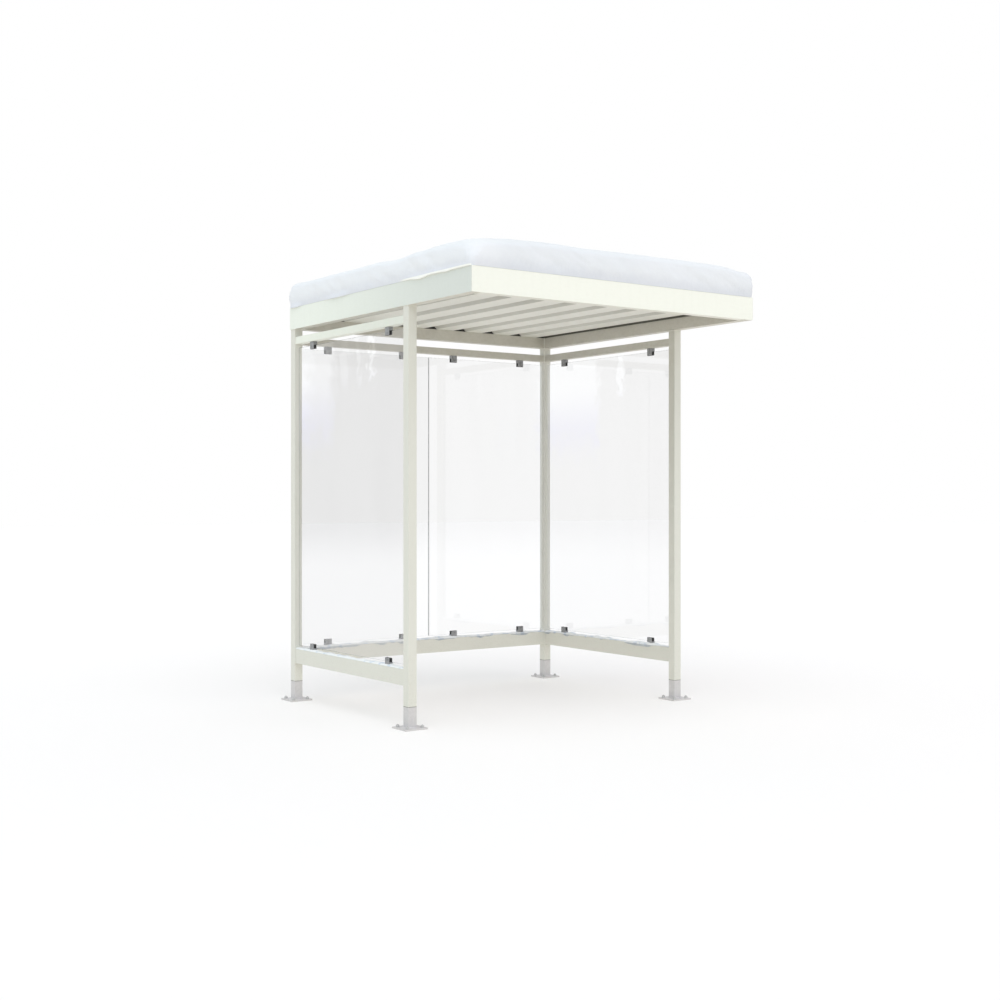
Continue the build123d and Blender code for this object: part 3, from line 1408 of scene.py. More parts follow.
@dataclass
class Roof:
    """The roof's trim and profiled sheet, with fillers in the sheet's flutes and dark strips that stand
    in for shade.

    Attributes:
        pitch: From one rib of the sheet to the next.
        base: A rib's width at its foot.
        crest: Its width at its top.
        ribs_each_side: Ribs on each side of the middle one.
        sheet: The sheet's thickness.
        filler_length: How long a filler is, along the rib.
        filler_inset: From the beam's inner face to the filler.
        filler_corner: How much its corners are cut.
        strip_inset: From a side beam's end to the strip's.
        strip_step: How far apart the strip's cross sections are.
        swell: How far the strip swells out of the flute.
        clearance: The gap round a filler.
    """

    pitch: float = 0.260
    base: float = 0.114
    crest: float = 0.074
    ribs_each_side: int = 4
    sheet: float = 0.001
    filler_length: float = 0.045
    filler_inset: float = 0.002
    filler_corner: float = 0.0015
    strip_inset: float = 0.004
    strip_step: float = 0.02
    swell: float = 0.0012
    clearance: float = 0.0006

    def filler_outline(self, middle: float, low: float, high: float) -> list[tuple[float, float]]:
        """The points round a filler's end, with its corners cut.

        Args:
            middle: The rib's middle.
            low: The filler's underside.
            high: Its top.

        Returns:
            Places across and up.
        """
        half_base = self.base / 2 - 2 * self.clearance
        half_crest = self.crest / 2 - self.clearance
        lean = (half_base - half_crest) / (high - low)
        cut = self.filler_corner
        right = [
            (half_base - cut, low),
            (half_base - lean * cut, low + cut),
            (half_crest + lean * cut, high - cut),
            (half_crest - cut, high),
        ]
        left = [(-across, up) for across, up in reversed(right)]
        return [(middle + across, up) for across, up in right + left]

    def fillers(self, edge: str, inner: float, inward: int) -> bpy.types.Object:
        """Makes the foam fillers over one cross beam.

        Args:
            edge: The beam's edge of the roof.
            inner: The beam's inner face.
            inward: 1 or -1, the way from the beam to the middle of the roof.

        Returns:
            The piece.
        """
        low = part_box("back_roof_beam")[1].z + self.clearance
        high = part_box("roof_sheet")[1].z - self.sheet - self.clearance
        begin = inner - inward * self.filler_inset
        form = Form()
        for number in range(-self.ribs_each_side, self.ribs_each_side + 1):
            outline = self.filler_outline(number * self.pitch, low, high)
            rings = []
            for gone, shrink in ((0.0, 0.985), (0.001, 1.0), (self.filler_length, 1.0)):
                y = begin - inward * gone
                middle = Vector((number * self.pitch, y, (low + high) / 2))
                section = [Vector((x, y, z)) for x, z in outline]
                rings.append(form.ring(middle + (point - middle) * shrink for point in section))
            form.body(rings)
        return form.piece(f"{edge}_flute_fillers", FOAM, crease=30.0)

    def strip(self, edge: str, outward: int) -> bpy.types.Object:
        """Makes the foam strip in the flute that runs along a side beam, dark as painted shade.

        Args:
            edge: The beam's edge of the roof.
            outward: 1 on the right and -1 on the left.

        Returns:
            The piece.
        """
        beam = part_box(f"{edge}_roof_beam")
        inner = abs(beam[0].x if outward > 0 else beam[1].x)
        low = beam[1].z + self.clearance
        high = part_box("roof_sheet")[1].z - self.sheet - self.clearance
        last_rib = self.ribs_each_side * self.pitch
        outer_low = last_rib + self.base / 2 - self.filler_corner
        outer_high = last_rib + self.crest / 2 - self.sheet
        begin, end = beam[0].y + self.strip_inset, beam[1].y - self.strip_inset
        count = round((end - begin) / self.strip_step)
        form = Form()
        rings = []
        for number in range(count + 1):
            y = mixed(begin, end, number / count)
            swell = self.swell + 0.0010 * noise.noise(Vector((y * 9, outward * 3, 0)))
            outline = (
                (inner + swell, low), (outer_low, low), (outer_high, high), (inner + swell, high),
                (inner + 0.4 * swell, (low + high) / 2),
            )
            rings.append(form.ring(Vector((outward * x, y, z)) for x, z in outline))
        form.body(rings)
        return form.piece(f"{edge}_flute_strip", SHADOW_STRIP_FOAM, crease=50.0)

    def build(self) -> list[bpy.types.Object]:
        """Dresses the roof and makes its fillers.

        Returns:
            The fillers and strips.
        """
        for edge in ("front", "back"):
            dress(f"{edge}_fascia", LIT_TRIM_PAINT)
        for edge in ("left", "right"):
            dress(f"{edge}_fascia", SHADED_SIDE_TRIM_PAINT)
        dress("roof_sheet", SHEET_PAINT)
        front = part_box("front_roof_beam")[1].y
        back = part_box("back_roof_beam")[0].y
        cross = [self.fillers("front", front, 1), self.fillers("back", back, -1)]
        return [*cross, self.strip("left", -1), self.strip("right", 1)]


@dataclass
class Clamp:
    """One glass clamp, with rubber linings in its slot and a button-head screw on each jaw.

    Attributes:
        node: The clamp's node.
        along: The wall's axis.
        hanging: Whether it hangs from a top rail.
        slot: The slot's width.
        lining: A lining's thickness.
        proud: How far a lining stands out of the jaws.
        flange: How wide its lips are outside of the slot.
        base: Height of the block under the slot.
        slack: The gap between a lining and its jaw.
        rim: How round the lips' edges are.
        screw_from_mouth: From the slot's open end to the screws.
        head_radius: The screw head's radius.
        head_height: How far it stands out.
    """

    node: str
    along: Axis
    hanging: bool
    slot: float = 0.013
    lining: float = 0.0023
    proud: float = 0.0014
    flange: float = 0.0050
    base: float = 0.025
    slack: float = 0.0002
    rim: float = 0.0004
    screw_from_mouth: float = 0.013
    head_radius: float = 0.0055
    head_height: float = 0.0026

    def linings(self, low: Vector, high: Vector) -> bpy.types.Object:
        """Makes the two linings.

        Args:
            low: The clamp's lowest corner.
            high: Its highest corner.

        Returns:
            The piece.
        """
        across = (Axis.Y if self.along is Axis.X else Axis.X).vector
        middle = (low + high) / 2
        half = (high - low).dot(self.along.vector) / 2
        if self.hanging:
            bottom, top = low.z - self.proud, high.z - self.base + SLIVER
        else:
            bottom, top = low.z + self.base + SLIVER, high.z + self.proud
        inner, outer = self.slot / 2 - self.lining, self.slot / 2 - self.slack
        end, rim = half + self.proud, self.rim
        wide = outer + self.flange
        profile = (
            (-end, wide - rim), (-end + rim, wide), (-half - rim, wide), (-half - SLIVER, wide - rim),
            (-half - SLIVER, outer), (half + SLIVER, outer),
            (half + SLIVER, wide - rim), (half + rim, wide), (end - rim, wide), (end, wide - rim),
        )
        form = Form()
        for jaw in (-1, 1):
            rings = []
            for gone, reach in profile:
                corners = ((inner, bottom), (reach, bottom), (reach, top), (inner, top))
                at = middle + self.along.vector * gone
                base = Vector((at.x, at.y, 0))
                section = [base + across * jaw * out + Axis.Z.vector * level for out, level in corners]
                rings.append(form.ring(section))
            form.body(rings)
        return form.piece(f"{self.node}_lining", LINING, crease=30.0)

    def screw(self, form: Form, seat: Vector, outward: Vector) -> None:
        """Adds a button head with a hexagon socket.

        Args:
            form: The form that it is added to.
            seat: The middle of its seat on the jaw.
            outward: The way out of the jaw.
        """
        sides = 24
        first, second = self.along.vector, Axis.Z.vector
        head = ((1.0, 0.0), (1.0, 0.25), (0.93, 0.55), (0.80, 0.80), (0.62, 0.97))
        outline = head + ((0.52, 1.0), (0.48, 0.92), (0.46, 0.12))
        rings = []
        for number, (share, rise) in enumerate(outline):
            points = []
            for side in range(sides):
                angle = 2 * math.pi * side / sides
                radius = self.head_radius * share
                if number >= len(outline) - 3:
                    from_flat = (angle + math.pi / 6) % (math.pi / 3) - math.pi / 6
                    radius *= 0.92 / math.cos(from_flat)
                points.append(seat + outward * self.head_height * rise
                              + (first * math.cos(angle) + second * math.sin(angle)) * radius)
            rings.append(form.ring(points))
        form.body(rings)

    def screws(self, low: Vector, high: Vector) -> bpy.types.Object:
        """Makes the screws of both jaws.

        Args:
            low: The clamp's lowest corner.
            high: Its highest corner.

        Returns:
            The piece.
        """
        across = Axis.Y if self.along is Axis.X else Axis.X
        middle = (low + high) / 2
        half = (high - low).dot(across.vector) / 2
        level = low.z + self.screw_from_mouth if self.hanging else high.z - self.screw_from_mouth
        form = Form()
        for jaw in (-1, 1):
            outward = across.vector * jaw
            seat = middle + outward * (half - SLIVER)
            seat.z = level
            self.screw(form, seat, outward)
        return form.piece(f"{self.node}_screws", CLAMP_STEEL, "clamp_steel", crease=30.0)

    def build(self) -> list[bpy.types.Object]:
        """Dresses the clamp and makes its linings and screws.

        Returns:
            The linings and the screws.
        """
        dress(self.node, CLAMP_STEEL)
        low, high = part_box(self.node)
        return [self.linings(low, high), self.screws(low, high)]


@dataclass
class GlassWall:
    """One glazed wall: its panes and its clamps.

    Attributes:
        wall: The wall's name.
        panes: The names of its panes.
        along: The wall's axis.
        clamps: The names of its clamp places.
        arris: How much is ground off the panes' sharp edges.
    """

    wall: str
    panes: tuple[str, ...]
    along: Axis
    clamps: tuple[str, ...]
    arris: float = 0.0012

    def grind(self, pane: str) -> None:
        """Takes the sharp arrises off a pane, as a modifier.

        Args:
            pane: The pane's node.
        """
        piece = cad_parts[pane]
        weld = piece.modifiers.new("one_skin", "WELD")
        weld.merge_threshold = 0.00001
        bevel = piece.modifiers.new("arris", "BEVEL")
        bevel.width = self.arris
        bevel.segments = 1
        bevel.limit_method = "ANGLE"

    def build(self) -> list[bpy.types.Object]:
        """Dresses the panes and builds the clamps.

        Returns:
            The pieces of every clamp.
        """
        for pane in self.panes:
            dress(pane, PANES[pane])
            self.grind(pane)
        made = []
        for level in ("bottom", "top"):
            for place in self.clamps:
                made += Clamp(f"{self.wall}_{level}_clamp_{place}", self.along, level == "top").build()
        return made


@dataclass(frozen=True)
class Lip:
    """A stretch where the snow hangs over the top of the left trim.

    Attributes:
        middle: Its middle, from the front of the roof.
        reach: Half of its length.
        drop: How far it hangs down.
        proud: How far it stands out.
    """

    middle: float
    reach: float
    drop: float
    proud: float

    def share(self, place: float) -> float:
        """How much of the lip there is at a place, from 0 to 1."""
        off = abs(place - self.middle) / self.reach
        return (1 - off * off) ** 2 if off < 1 else 0.0


@dataclass
class RoofSnow:
    """The bank of snow on the roof.

    Heights are over the top of the trim. The crest's heights are at evenly spaced
    stations along each edge of the roof.

    Attributes:
        left_crest: From the back to the front.
        front_crest: From left to right.
        right_crest: From the back to the front.
        back_crest: From left to right.
        shoulder: The radius from its sides to its top.
        soft_shoulder: The same at the front left corner.
        foot_corner: The radius of its corners in plan, at the foot.
        top_corner: The same at the top.
        soft_corner: The same at the top of the front left corner.
        turned: How far the shoulder turns before the top begins.
        bulge: How far its side stands out past the trim.
        tray_inset: From the trim's face to the snow inside the tray.
        cells: Cells of the top along each edge.
        lips: Where it hangs over the left trim.
        lip_roll: Height of a lip's rolled edge.
        tuck: How far inside the trim's face its foot is where there is no lip.
        edge_pull: How far in from an edge its crest's height holds.
        inner_reach: How far in the dunes are full.
        soft_reach: How far the soft corner reaches.
        dune: How high the dunes on the top are.
        drift: How high the smaller drifts are.
        sunk: How much lower the snow lies away from its edges.
        folds: How far the side's soft folds stand out.
        creases: How far its sharp creases do.
        crumbs: How far its finest creases do.
        middle: The roof's middle in plan, from the frame.
        half: Half of the roof's size over its trim, from the frame.
        trim_top: Height of the trim's top, from the frame.
        tray_floor: Height of the ribs' tops, from the frame.
    """

    left_crest: tuple[float, ...] = (0.170, 0.165, 0.166, 0.164, 0.166, 0.153, 0.166, 0.175, 0.172)
    front_crest: tuple[float, ...] = (0.172, 0.186, 0.190, 0.184, 0.188, 0.190, 0.192, 0.190, 0.160)
    right_crest: tuple[float, ...] = (0.180, 0.186, 0.176, 0.190, 0.182, 0.178, 0.190, 0.190, 0.180)
    back_crest: tuple[float, ...] = (0.180, 0.182, 0.176, 0.188, 0.192, 0.180, 0.176, 0.188, 0.180)
    shoulder: float = 0.050
    soft_shoulder: float = 0.085
    foot_corner: float = 0.030
    top_corner: float = 0.048
    soft_corner: float = 0.095
    turned: float = math.radians(78)
    bulge: float = 0.008
    tray_inset: float = 0.0285
    cells: int = 144
    lips: tuple[Lip, ...] = (
        Lip(0.550, 0.130, 0.010, 0.011),
        Lip(0.262, 0.080, 0.005, 0.010),
        Lip(0.340, 0.500, 0.001, 0.008),
        Lip(1.570, 0.220, 0.003, 0.008),
        Lip(2.160, 0.110, 0.004, 0.009),
    )
    lip_roll: float = 0.016
    tuck: float = 0.012
    edge_pull: float = 0.08
    inner_reach: float = 0.45
    soft_reach: float = 0.55
    dune: float = 0.016
    drift: float = 0.006
    sunk: float = 0.004
    folds: float = 0.0055
    creases: float = 0.0042
    crumbs: float = 0.0016
    middle: Vector = field(default_factory=Vector)
    half: Vector = field(default_factory=Vector)
    trim_top: float = 0.0
    tray_floor: float = 0.0

    def measure(self) -> None:
        """Reads the roof's plan and levels from the frame."""
        left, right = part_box("left_fascia"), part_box("right_fascia")
        self.middle = Vector(((left[0].x + right[1].x) / 2, (left[0].y + left[1].y) / 2, 0))
        self.half = Vector(((right[1].x - left[0].x) / 2, (left[1].y - left[0].y) / 2, 0))
        self.trim_top = left[1].z
        self.tray_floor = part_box("roof_sheet")[1].z

    def plan(self, u: float, v: float, outset: float, corner: float) -> tuple[Vector, Vector]:
        """Puts a point of the unit square on a rounded rectangle round the roof.

        Args:
            u: Its place from left to right, from -1 to 1.
            v: Its place from front to back, from -1 to 1.
            outset: How far outside the trim the rectangle's edge is.
            corner: The radius of its corners.

        Returns:
            The point, and the outward direction that its edge has there.
        """
        half_x, half_y = self.half.x + outset, self.half.y + outset
        x, y = u * half_x, v * half_y
        over_x, over_y = abs(x) - (half_x - corner), abs(y) - (half_y - corner)
        if over_x > 0 and over_y > 0:
            reach = max(over_x, over_y) / math.hypot(over_x, over_y)
            outward = Vector((math.copysign(over_x, x), math.copysign(over_y, y), 0)).normalized()
            x = math.copysign(half_x - corner + over_x * reach, x)
            y = math.copysign(half_y - corner + over_y * reach, y)
        elif over_x > over_y:
            outward = Vector((math.copysign(1, x), 0, 0))
        else:
            outward = Vector((0, math.copysign(1, y), 0))
        return Vector((x, y, 0)), outward

    def crest(self, point: Vector) -> float:
        """Height of the snow over the trim at a place in plan.

        Args:
            point: The place, from the roof's middle.

        Returns:
            The height.
        """
        across = (point.x / self.half.x + 1) / 2
        to_front = (1 - point.y / self.half.y) / 2
        edges = (
            (self.half.x + point.x, along_stations(self.left_crest, to_front)),
            (self.half.x - point.x, along_stations(self.right_crest, to_front)),
            (self.half.y + point.y, along_stations(self.front_crest, across)),
            (self.half.y - point.y, along_stations(self.back_crest, across)),
        )
        weights = [1 / (max(distance, 0.0) + self.edge_pull) ** 2 for distance, _ in edges]
        level = sum(weight * value for weight, (_, value) in zip(weights, edges)) / sum(weights)
        inner = smooth(min(distance for distance, _ in edges) / self.inner_reach)
        dunes = self.dune * noise.noise(point * 1.7 + Vector((3, 7, 0)))
        dunes += self.drift * noise.noise(point * 5.5)
        return level + inner * (dunes - self.sunk)

    def fold(self, point: Vector, outward: Vector, rise: float) -> float:
        """How far the side's soft slanting folds stand out.

        Args:
            point: The place in plan.
            outward: The side's outward direction.
            rise: Height over the trim.

        Returns:
            The distance.
        """
        run = point.dot(Vector((-outward.y, outward.x, 0)))
        slanted = Vector((run * 9.0 + rise * 13.0, rise * 5.0, outward.x * 4 + outward.y * 9))
        broad = Vector((run * 2.6, rise * 3.0, outward.x * 7 + 5))
        soft = self.folds * noise.noise(slanted) + self.folds * noise.noise(broad)
        crisp = self.creases * (0.25 - abs(noise.noise(slanted * 2.7)))
        crisp += self.crumbs * noise.noise(slanted * 7.3)
        soft_here = self.softness(point)
        return soft * (1 - 0.6 * soft_here) + crisp * (1 - soft_here)

    def softness(self, point: Vector) -> float:
        """How soft the snow is at a place in plan: 1 at the front left corner, 0 away from it."""
        corner = Vector((-self.half.x, -self.half.y, 0))
        return 1 - smooth((point - corner).length / self.soft_reach)

    def lip(self, point: Vector, outward: Vector) -> tuple[float, float, float]:
        """The lip at a place.

        Args:
            point: The place in plan, from the roof's middle.
            outward: The side's outward direction.

        Returns:
            How much of it there is, from 0 to 1, its drop and how far it stands out.
        """
        if outward.x > -0.9:
            return 0.0, 0.0, 0.0
        shares = [(one, one.share(point.y + self.half.y)) for one in self.lips]
        present = smooth(2.5 * max(share for _, share in shares))
        drop = max(one.drop * share for one, share in shares)
        return present, drop, max(one.proud * share for one, share in shares)

    def side(self, u: float, v: float, step: float) -> Vector:
        """A point of the snow's side or shoulder.

        Args:
            u: The point's place from left to right on the unit square's edge.
            v: Its place from front to back.
            step: 0 to 1 up the side, and 1 to 2 round the shoulder.

        Returns:
            The point.
        """
        corner = mixed(self.foot_corner, self.upper_corner(u, v), smooth(step / 1.5))
        base, outward = self.plan(u, v, 0.0, corner)
        crest = self.crest(base)
        shoulder = mixed(self.shoulder, self.soft_shoulder, self.softness(base))
        turn = max(0.0, step - 1) * self.turned
        inward = shoulder * (1 - math.cos(turn))
        wall = crest - shoulder * math.sin(self.turned)
        rise = wall * min(step, 1.0) + shoulder * math.sin(turn)
        outset = self.belly(min(step, 1.0)) - inward
        outset += self.fold(base, outward, rise) * smooth(step * 2.2)
        point, _ = self.plan(u, v, outset, corner)
        present, drop, proud = self.lip(base, outward)
        roll = math.exp(-((rise + drop) / self.lip_roll) ** 2)
        point += outward * (proud * roll + present * 0.004 * (1 - smooth(step * 3)))
        point.z = self.trim_top + SLIVER + rise - drop * (1 - smooth(step * 3.5))
        return self.middle + point

    def upper_corner(self, u: float, v: float) -> float:
        """The radius in plan of the corner nearest to a point, at the snow's top."""
        return self.soft_corner if u < 0 and v < 0 else self.top_corner

    def belly(self, step: float) -> float:
        """How far the side stands out past the trim, from 0 at its foot to 1 at its shoulder."""
        return mixed(-0.0015, self.bulge, math.sin(math.pi * min(1.0, 0.12 + 0.62 * step)))

    def top(self, u: float, v: float) -> Vector:
        """A point of the snow's top, inside its shoulder.

        Args:
            u: The place from left to right, from -1 to 1.
            v: The place from front to back, from -1 to 1.

        Returns:
            The point.
        """
        rim = max(abs(u), abs(v))
        edge_u, edge_v = (u / rim, v / rim) if rim else (1.0, 0.0)
        corner = self.upper_corner(edge_u, edge_v)
        base, outward = self.plan(edge_u, edge_v, 0.0, corner)
        shoulder = mixed(self.shoulder, self.soft_shoulder, self.softness(base))
        outset = self.belly(1.0) - shoulder * (1 - math.cos(self.turned))
        outset += self.fold(base, outward, self.crest(base)) * smooth((rim - 0.8) * 5)
        point, _ = self.plan(u, v, outset, corner * rim)
        place, _ = self.plan(u, v, 0.0, corner * rim)
        point.z = self.trim_top + SLIVER + self.crest(place)
        return self.middle + point

    def edge_places(self) -> list[tuple[float, float]]:
        """The unit square's edge, once round from its front left corner.

        Returns:
            The places, from left to right and from front to back.
        """
        steps = [-1 + 2 * number / self.cells for number in range(self.cells)]
        front = [(step, -1.0) for step in steps]
        right = [(1.0, step) for step in steps]
        back = [(-step, 1.0) for step in steps]
        left = [(-1.0, -step) for step in steps]
        return front + right + back + left

    def build(self) -> list[bpy.types.Object]:
        """Makes the bank, which stands for the frame's plain one.

        Returns:
            The bank.
        """
        self.measure()
        form = Form()
        places = self.edge_places()
        rings = []
        for level in (self.tray_floor + SLIVER, self.trim_top + SLIVER):
            points = [self.middle + self.plan(u, v, -self.tray_inset, 0.01)[0] for u, v in places]
            rings.append(form.ring(point + Vector((0, 0, level)) for point in points))
        rings.append(form.ring(self.under_lip(u, v) for u, v in places))
        steps = [number / 14 for number in range(14)] + [1 + number / 9 for number in range(9)]
        for step in steps:
            rings.append(form.ring(self.side(u, v, step) for u, v in places))
        grid = self.grid(form)
        rings.append([grid[self.column(u)][self.column(v)] for u, v in places])
        form.skin(rings)
        form.cap(rings[0])
        for column, after in zip(grid, grid[1:]):
            for row in range(self.cells):
                form.faces.append((column[row], after[row], after[row + 1], column[row + 1]))
        piece = form.piece("snow_bank", ROOF_SNOW, "snow", crease=70.0)
        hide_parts("roof_snow")
        return [piece]

    def under_lip(self, u: float, v: float) -> Vector:
        """The back of the lip, or the snow's foot where there is none.

        Args:
            u: The place from left to right, from -1 to 1.
            v: The place from front to back, from -1 to 1.

        Returns:
            The point.
        """
        base, outward = self.plan(u, v, 0.0, self.foot_corner)
        present, drop, _ = self.lip(base, outward)
        point, _ = self.plan(u, v, mixed(-self.tuck, 0.0004, present), self.foot_corner)
        point.z = self.trim_top + SLIVER - drop
        return self.middle + point

    def column(self, share: float) -> int:
        """The grid's line at a place from -1 to 1."""
        return round((share + 1) / 2 * self.cells)

    def grid(self, form: Form) -> list[list[int]]:
        """Adds the top's points and returns their numbers, column by column."""
        lines = [-1 + 2 * number / self.cells for number in range(self.cells + 1)]
        return [form.ring(self.top(u, v) for v in lines) for u in lines]


@dataclass
class RailSnow:
    """The thin snow on one bottom rail, which droops over the rail's inner edge in places.

    Distances across the rail run from its inner face to its outer one.

    Attributes:
        rail: The rail's wall.
        along: The rail's axis.
        outward: 1 if the rail's outer face looks along the other axis, or -1.
        clamps: The names of the clamps that stand on it.
        crust: The snow's middle height.
        thinnest: Its least height.
        broad: How much its height varies over a long stretch.
        fine: How much it varies over a short one.
        heap: How much higher it is against a clamp or post.
        heap_reach: How far a heap runs.
        droop: How far it hangs over the inner edge at most.
        droop_thick: How far the drooping snow stands out.
        overhang: How far it stands over the outer edge at most.
        spacing: How far apart its cross sections are.
        droop_points: Points down the drooping edge.
        across_points: Points across the top.
    """

    rail: str
    along: Axis
    outward: int
    clamps: tuple[str, ...]
    crust: float = 0.010
    thinnest: float = 0.0030
    broad: float = 0.007
    fine: float = 0.005
    heap: float = 0.0015
    heap_reach: float = 0.055
    droop: float = 0.017
    droop_thick: float = 0.005
    overhang: float = 0.003
    spacing: float = 0.006
    droop_points: int = 6
    across_points: int = 13

    def ripple(self, place: float, scale: float, seed: float) -> float:
        """Noise along the rail, from about -1 to 1.

        Args:
            place: The place along the rail.
            scale: Ripples in a metre.
            seed: Tells one ripple from another.

        Returns:
            The noise.
        """
        return noise.noise(Vector((place * scale, len(self.rail) * 3.7 + 11 * self.outward, seed)))

    def height(self, place: float, near: float) -> float:
        """The snow's height.

        Args:
            place: The place along the rail.
            near: 1 beside a clamp or post, 0 away from them.

        Returns:
            The height.
        """
        broad, fine = self.ripple(place, 6.5, 0), self.ripple(place, 23, 5)
        height = self.crust + self.broad * broad + self.fine * fine + self.heap * near * (1 + fine)
        return max(self.thinnest, height)

    def drooping(self, place: float, near: float) -> float:
        """How far the snow hangs over the inner edge, or less than 0 where it stops short of it."""
        share = 2.2 * self.ripple(place, 5.2, 9) + 0.7 * self.ripple(place, 21, 14) + 0.38 + 0.60 * near
        return self.droop * min(1.0, share) if share > 0 else 0.008 * max(-1.0, share)

    def section(self, place: float, near: float, half: float) -> list[tuple[float, float]]:
        """One cross section, as places across and up, closed along its foot.

        Args:
            place: The place along the rail.
            near: 1 beside a clamp or post, 0 away from them.
            half: Half of the rail's width.

        Returns:
            The points.
        """
        height, drooping = self.height(place, near), self.drooping(place, near)
        drop = max(0.0, drooping)
        inner = half + SLIVER + min(0.0, drooping)
        thick = self.droop_thick * min(1.0, drop / 0.006)
        outer = min(half - 0.001 + 0.006 * self.ripple(place, 11, 18), half + self.overhang)
        points = []
        for number in range(self.droop_points):
            share = number / self.droop_points
            bulge = math.sin(math.pi * (0.15 + 0.55 * share)) ** 0.7 * min(1.0, share * 4)
            points.append((-inner - thick * bulge, SLIVER - drop * (1 - share) ** 1.2))
        for number in range(self.across_points):
            share = number / (self.across_points - 1)
            bulk = (1 - abs(2 * share - 1) ** 3.2) ** 0.6
            lump = 1 + 0.55 * self.ripple(place + share * 0.02, 19, 22 + share)
            points.append((mixed(-inner - 0.8 * thick, outer, share), SLIVER + height * bulk * lump))
        points.append((-inner, SLIVER))
        return points

    def build(self, form: Form) -> None:
        """Adds the rail's snow to a form.

        Args:
            form: The form that it is added to.
        """
        low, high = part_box(f"{self.rail}_bottom_rail")
        across = Axis.Y if self.along is Axis.X else Axis.X
        start, end = low.dot(self.along.vector), high.dot(self.along.vector)
        middle = (low + high).dot(across.vector) / 2
        half = (high - low).dot(across.vector) / 2
        heaps = [start, end]
        for clamp in self.clamps:
            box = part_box(f"{self.rail}_bottom_clamp_{clamp}")
            heaps.append((box[0] + box[1]).dot(self.along.vector) / 2)
        count = round((end - start) / self.spacing)
        rings = []
        for number in range(count + 1):
            place = mixed(start + SLIVER, end - SLIVER, number / count)
            near = max(math.exp(-(((place - heap) / self.heap_reach) ** 2)) for heap in heaps)
            rings.append(form.ring(
                self.along.vector * place + across.vector * (middle + self.outward * x)
                + Axis.Z.vector * (high.z + z)
                for x, z in self.section(place, near, half)))
        form.body(rings)


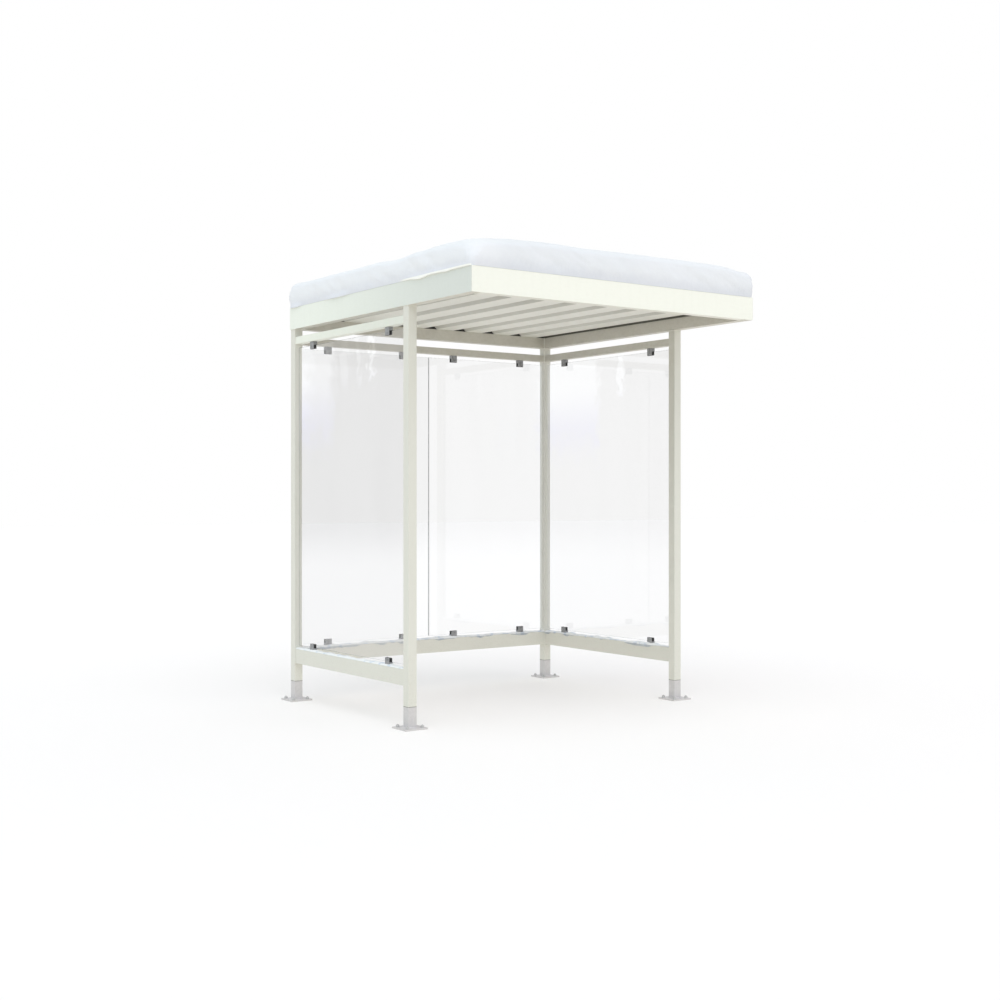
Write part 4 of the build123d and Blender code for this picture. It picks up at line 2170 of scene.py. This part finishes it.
@dataclass
class Studio:
    """The plain floor, the soft light and the camera.

    Attributes:
        floor_reach: Half of the floor's side.
        floor_bounce: What the floor gives back to the shelter of the light that falls on it.
        floor_glow: What it gives to the shelter everywhere.
        floor_seen: What it gives back where it is seen.
        floor_lift: What is added to the floor where it is seen, so that open floor is white.
        dome_horizon: Strength of the dome at the horizon, for what it lights.
        dome_middle: Its strength a third of the way up.
        dome_zenith: Its strength overhead.
        dome_rise: How far up it begins to rise from the horizon's strength, and where it is full.
        dome_fall: How far up it begins to fall to the zenith's strength, and where it has.
        dome_front: What is added on the side of the open front.
        dome_colour: Its colour.
        dome_left: Its colour on the left.
        key_energy: Strength of the soft lamp.
        key_spread: Its apparent size in degrees.
        key_from: The way to it.
        key_colour: Its colour.
        eye: The camera's place.
        heading: The way it looks, in degrees to the right of +Y.
        lens: Its focal length in millimetres.
        sensor: Its sensor's width in millimetres.
        rise: Its vertical shift.
    """

    floor_reach: float = 60.0
    floor_bounce: Colour = (0.525, 0.500, 0.448)
    floor_glow: Colour = (0.450, 0.430, 0.384)
    floor_seen: Colour = (0.772, 0.751, 0.755)
    floor_lift: float = 0.210
    dome_horizon: float = 0.40
    dome_middle: float = 1.12
    dome_zenith: float = 0.45
    dome_rise: tuple[float, float] = (0.0, 0.35)
    dome_fall: tuple[float, float] = (0.45, 1.0)
    dome_front: float = 0.02
    dome_colour: Colour = (0.965, 0.985, 1.0)
    dome_left: Colour = (0.875, 0.985, 1.01)
    key_energy: float = 1.05
    key_spread: float = 60.0
    key_from: tuple[float, float, float] = (-0.36, -0.60, 1.35)
    key_colour: Colour = (1.0, 0.985, 0.95)
    eye: tuple[float, float, float] = (-5.6071, -7.7211, 1.4129)
    heading: float = 35.4422
    lens: float = 50.417
    sensor: float = 36.0
    rise: float = -0.00234

    def seen(self, graph: Graph) -> Wire:
        """1 for what the camera sees directly, in a reflection or through glass.

        Args:
            graph: The graph of the floor's material or of the world.

        Returns:
            A mask, 0 for what only lights the shelter.
        """
        kinds = ("Camera", "Glossy", "Transmission")
        direct, glossy, through = [
            graph.node("ShaderNodeLightPath", output=f"Is {kind} Ray") for kind in kinds
        ]
        sockets = {0: direct + glossy, 1: through}
        return graph.node("ShaderNodeMath", {"operation": "ADD", "use_clamp": True}, sockets)

    def floor(self) -> None:
        """Makes the floor, white where it is open and grey in the shelter's shadow."""
        form = Form()
        reach = self.floor_reach
        plan = ((-1, -1), (1, -1), (1, 1), (-1, 1))
        corners = form.ring(Vector((x * reach, y * reach, 0)) for x, y in plan)
        form.cap(corners)
        mesh = bpy.data.meshes.new("studio_floor")
        mesh.from_pydata(form.points, [], form.faces)
        material = bpy.data.materials.new("studio_floor")
        graph = Graph(material)
        seen = self.seen(graph)
        colour = graph.blend(seen, self.floor_bounce, self.floor_seen)
        matt = graph.node("ShaderNodeBsdfDiffuse", inputs={"Color": colour})
        glow = graph.blend(seen, self.floor_glow, (self.floor_lift,) * 3)
        lift = graph.node("ShaderNodeEmission", inputs={"Color": glow, "Strength": 1.0})
        graph.end(graph.node("ShaderNodeAddShader", inputs={0: matt, 1: lift}))
        mesh.materials.append(material)
        made = bpy.data.objects.new("studio_floor", mesh)
        bpy.context.scene.collection.objects.link(made)

    def sky(self) -> None:
        """Makes the white surroundings and the dome that lights the shelter."""
        world = bpy.data.worlds.new("studio")
        bpy.context.scene.world = world
        graph = Graph(world)
        way = graph.node("ShaderNodeTexCoord", output="Generated")
        right, back, up = (graph.part(way, axis) for axis in Axis)
        rise = (self.dome_middle - self.dome_horizon) * graph.between(up, *self.dome_rise)
        fall = (self.dome_middle - self.dome_zenith) * graph.between(up, *self.dome_fall)
        strength = self.dome_horizon + rise - fall + self.dome_front * graph.between(-1 * back, -0.2, 0.8)
        colour = graph.blend(graph.between(-1 * right, -0.1, 0.8), self.dome_colour, self.dome_left)
        dome = graph.node("ShaderNodeBackground", inputs={"Color": colour, "Strength": strength})
        white = graph.node("ShaderNodeBackground", inputs={"Color": 1.0, "Strength": 1.0})
        both = graph.node("ShaderNodeMixShader", inputs={0: self.seen(graph), 1: dome, 2: white})
        graph.end(both, "ShaderNodeOutputWorld")

    def lamp(self) -> None:
        """Hangs the soft key lamp."""
        light = bpy.data.lights.new("key_lamp", "SUN")
        light.energy = self.key_energy
        light.angle = math.radians(self.key_spread)
        light.color = self.key_colour
        made = bpy.data.objects.new("key_lamp", light)
        made.rotation_mode = "QUATERNION"
        made.rotation_quaternion = (-Vector(self.key_from)).to_track_quat("-Z", "Y")
        bpy.context.scene.collection.objects.link(made)

    def camera(self) -> None:
        """Sets up the camera at the photograph's viewpoint."""
        data = bpy.data.cameras.new("camera")
        data.lens = self.lens
        data.sensor_width = self.sensor
        data.shift_y = self.rise
        data.clip_end = 5 * self.floor_reach
        made = bpy.data.objects.new("camera", data)
        heading = math.radians(self.heading)
        ahead = Vector((math.sin(heading), math.cos(heading), 0))
        made.location = self.eye
        made.rotation_mode = "QUATERNION"
        made.rotation_quaternion = ahead.to_track_quat("-Z", "Y")
        bpy.context.scene.collection.objects.link(made)
        bpy.context.scene.camera = made

    def build(self) -> None:
        """Sets the stage."""
        self.floor()
        self.sky()
        self.lamp()
        self.camera()
        bpy.context.scene.view_settings.view_transform = "Standard"


def rail_snow() -> list[bpy.types.Object]:
    """Makes the snow on all three bottom rails, which stands for the frame's plain strips.

    Returns:
        The snow.
    """
    form = Form()
    RailSnow("left", Axis.Y, -1, ("front", "back")).build(form)
    RailSnow("right", Axis.Y, 1, ("front", "back")).build(form)
    RailSnow("back", Axis.X, 1, ("1", "2", "3", "4")).build(form)
    piece = form.piece("rail_snow_drifts", RAIL_SNOW, "snow", crease=70.0)
    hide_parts("rail_snow")
    return [piece]


def main() -> None:
    """Builds the shelter's looks in order."""
    logging.basicConfig(level=logging.INFO, format="%(name)s: %(message)s")
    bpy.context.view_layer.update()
    Studio().build()
    back_panes = ("back_left_glass", "back_right_glass")
    assemblies = {
        "frame": Frame().build,
        "roof": Roof().build,
        "left wall": GlassWall("left", ("left_glass",), Axis.Y, ("front", "back")).build,
        "right wall": GlassWall("right", ("right_glass",), Axis.Y, ("front", "back")).build,
        "back wall": GlassWall("back", back_panes, Axis.X, ("1", "2", "3", "4")).build,
        "roof snow": RoofSnow().build,
        "rail snow": rail_snow,
    }
    for corner in Frame().posts:
        assemblies[f"{corner} foot"] = Foot(corner).build
    for assembly, build in assemblies.items():
        for piece in build():
            LOG.info("%s: %s, %d faces", assembly, piece.name, len(piece.data.polygons))


if __name__ == "__main__":
    main()
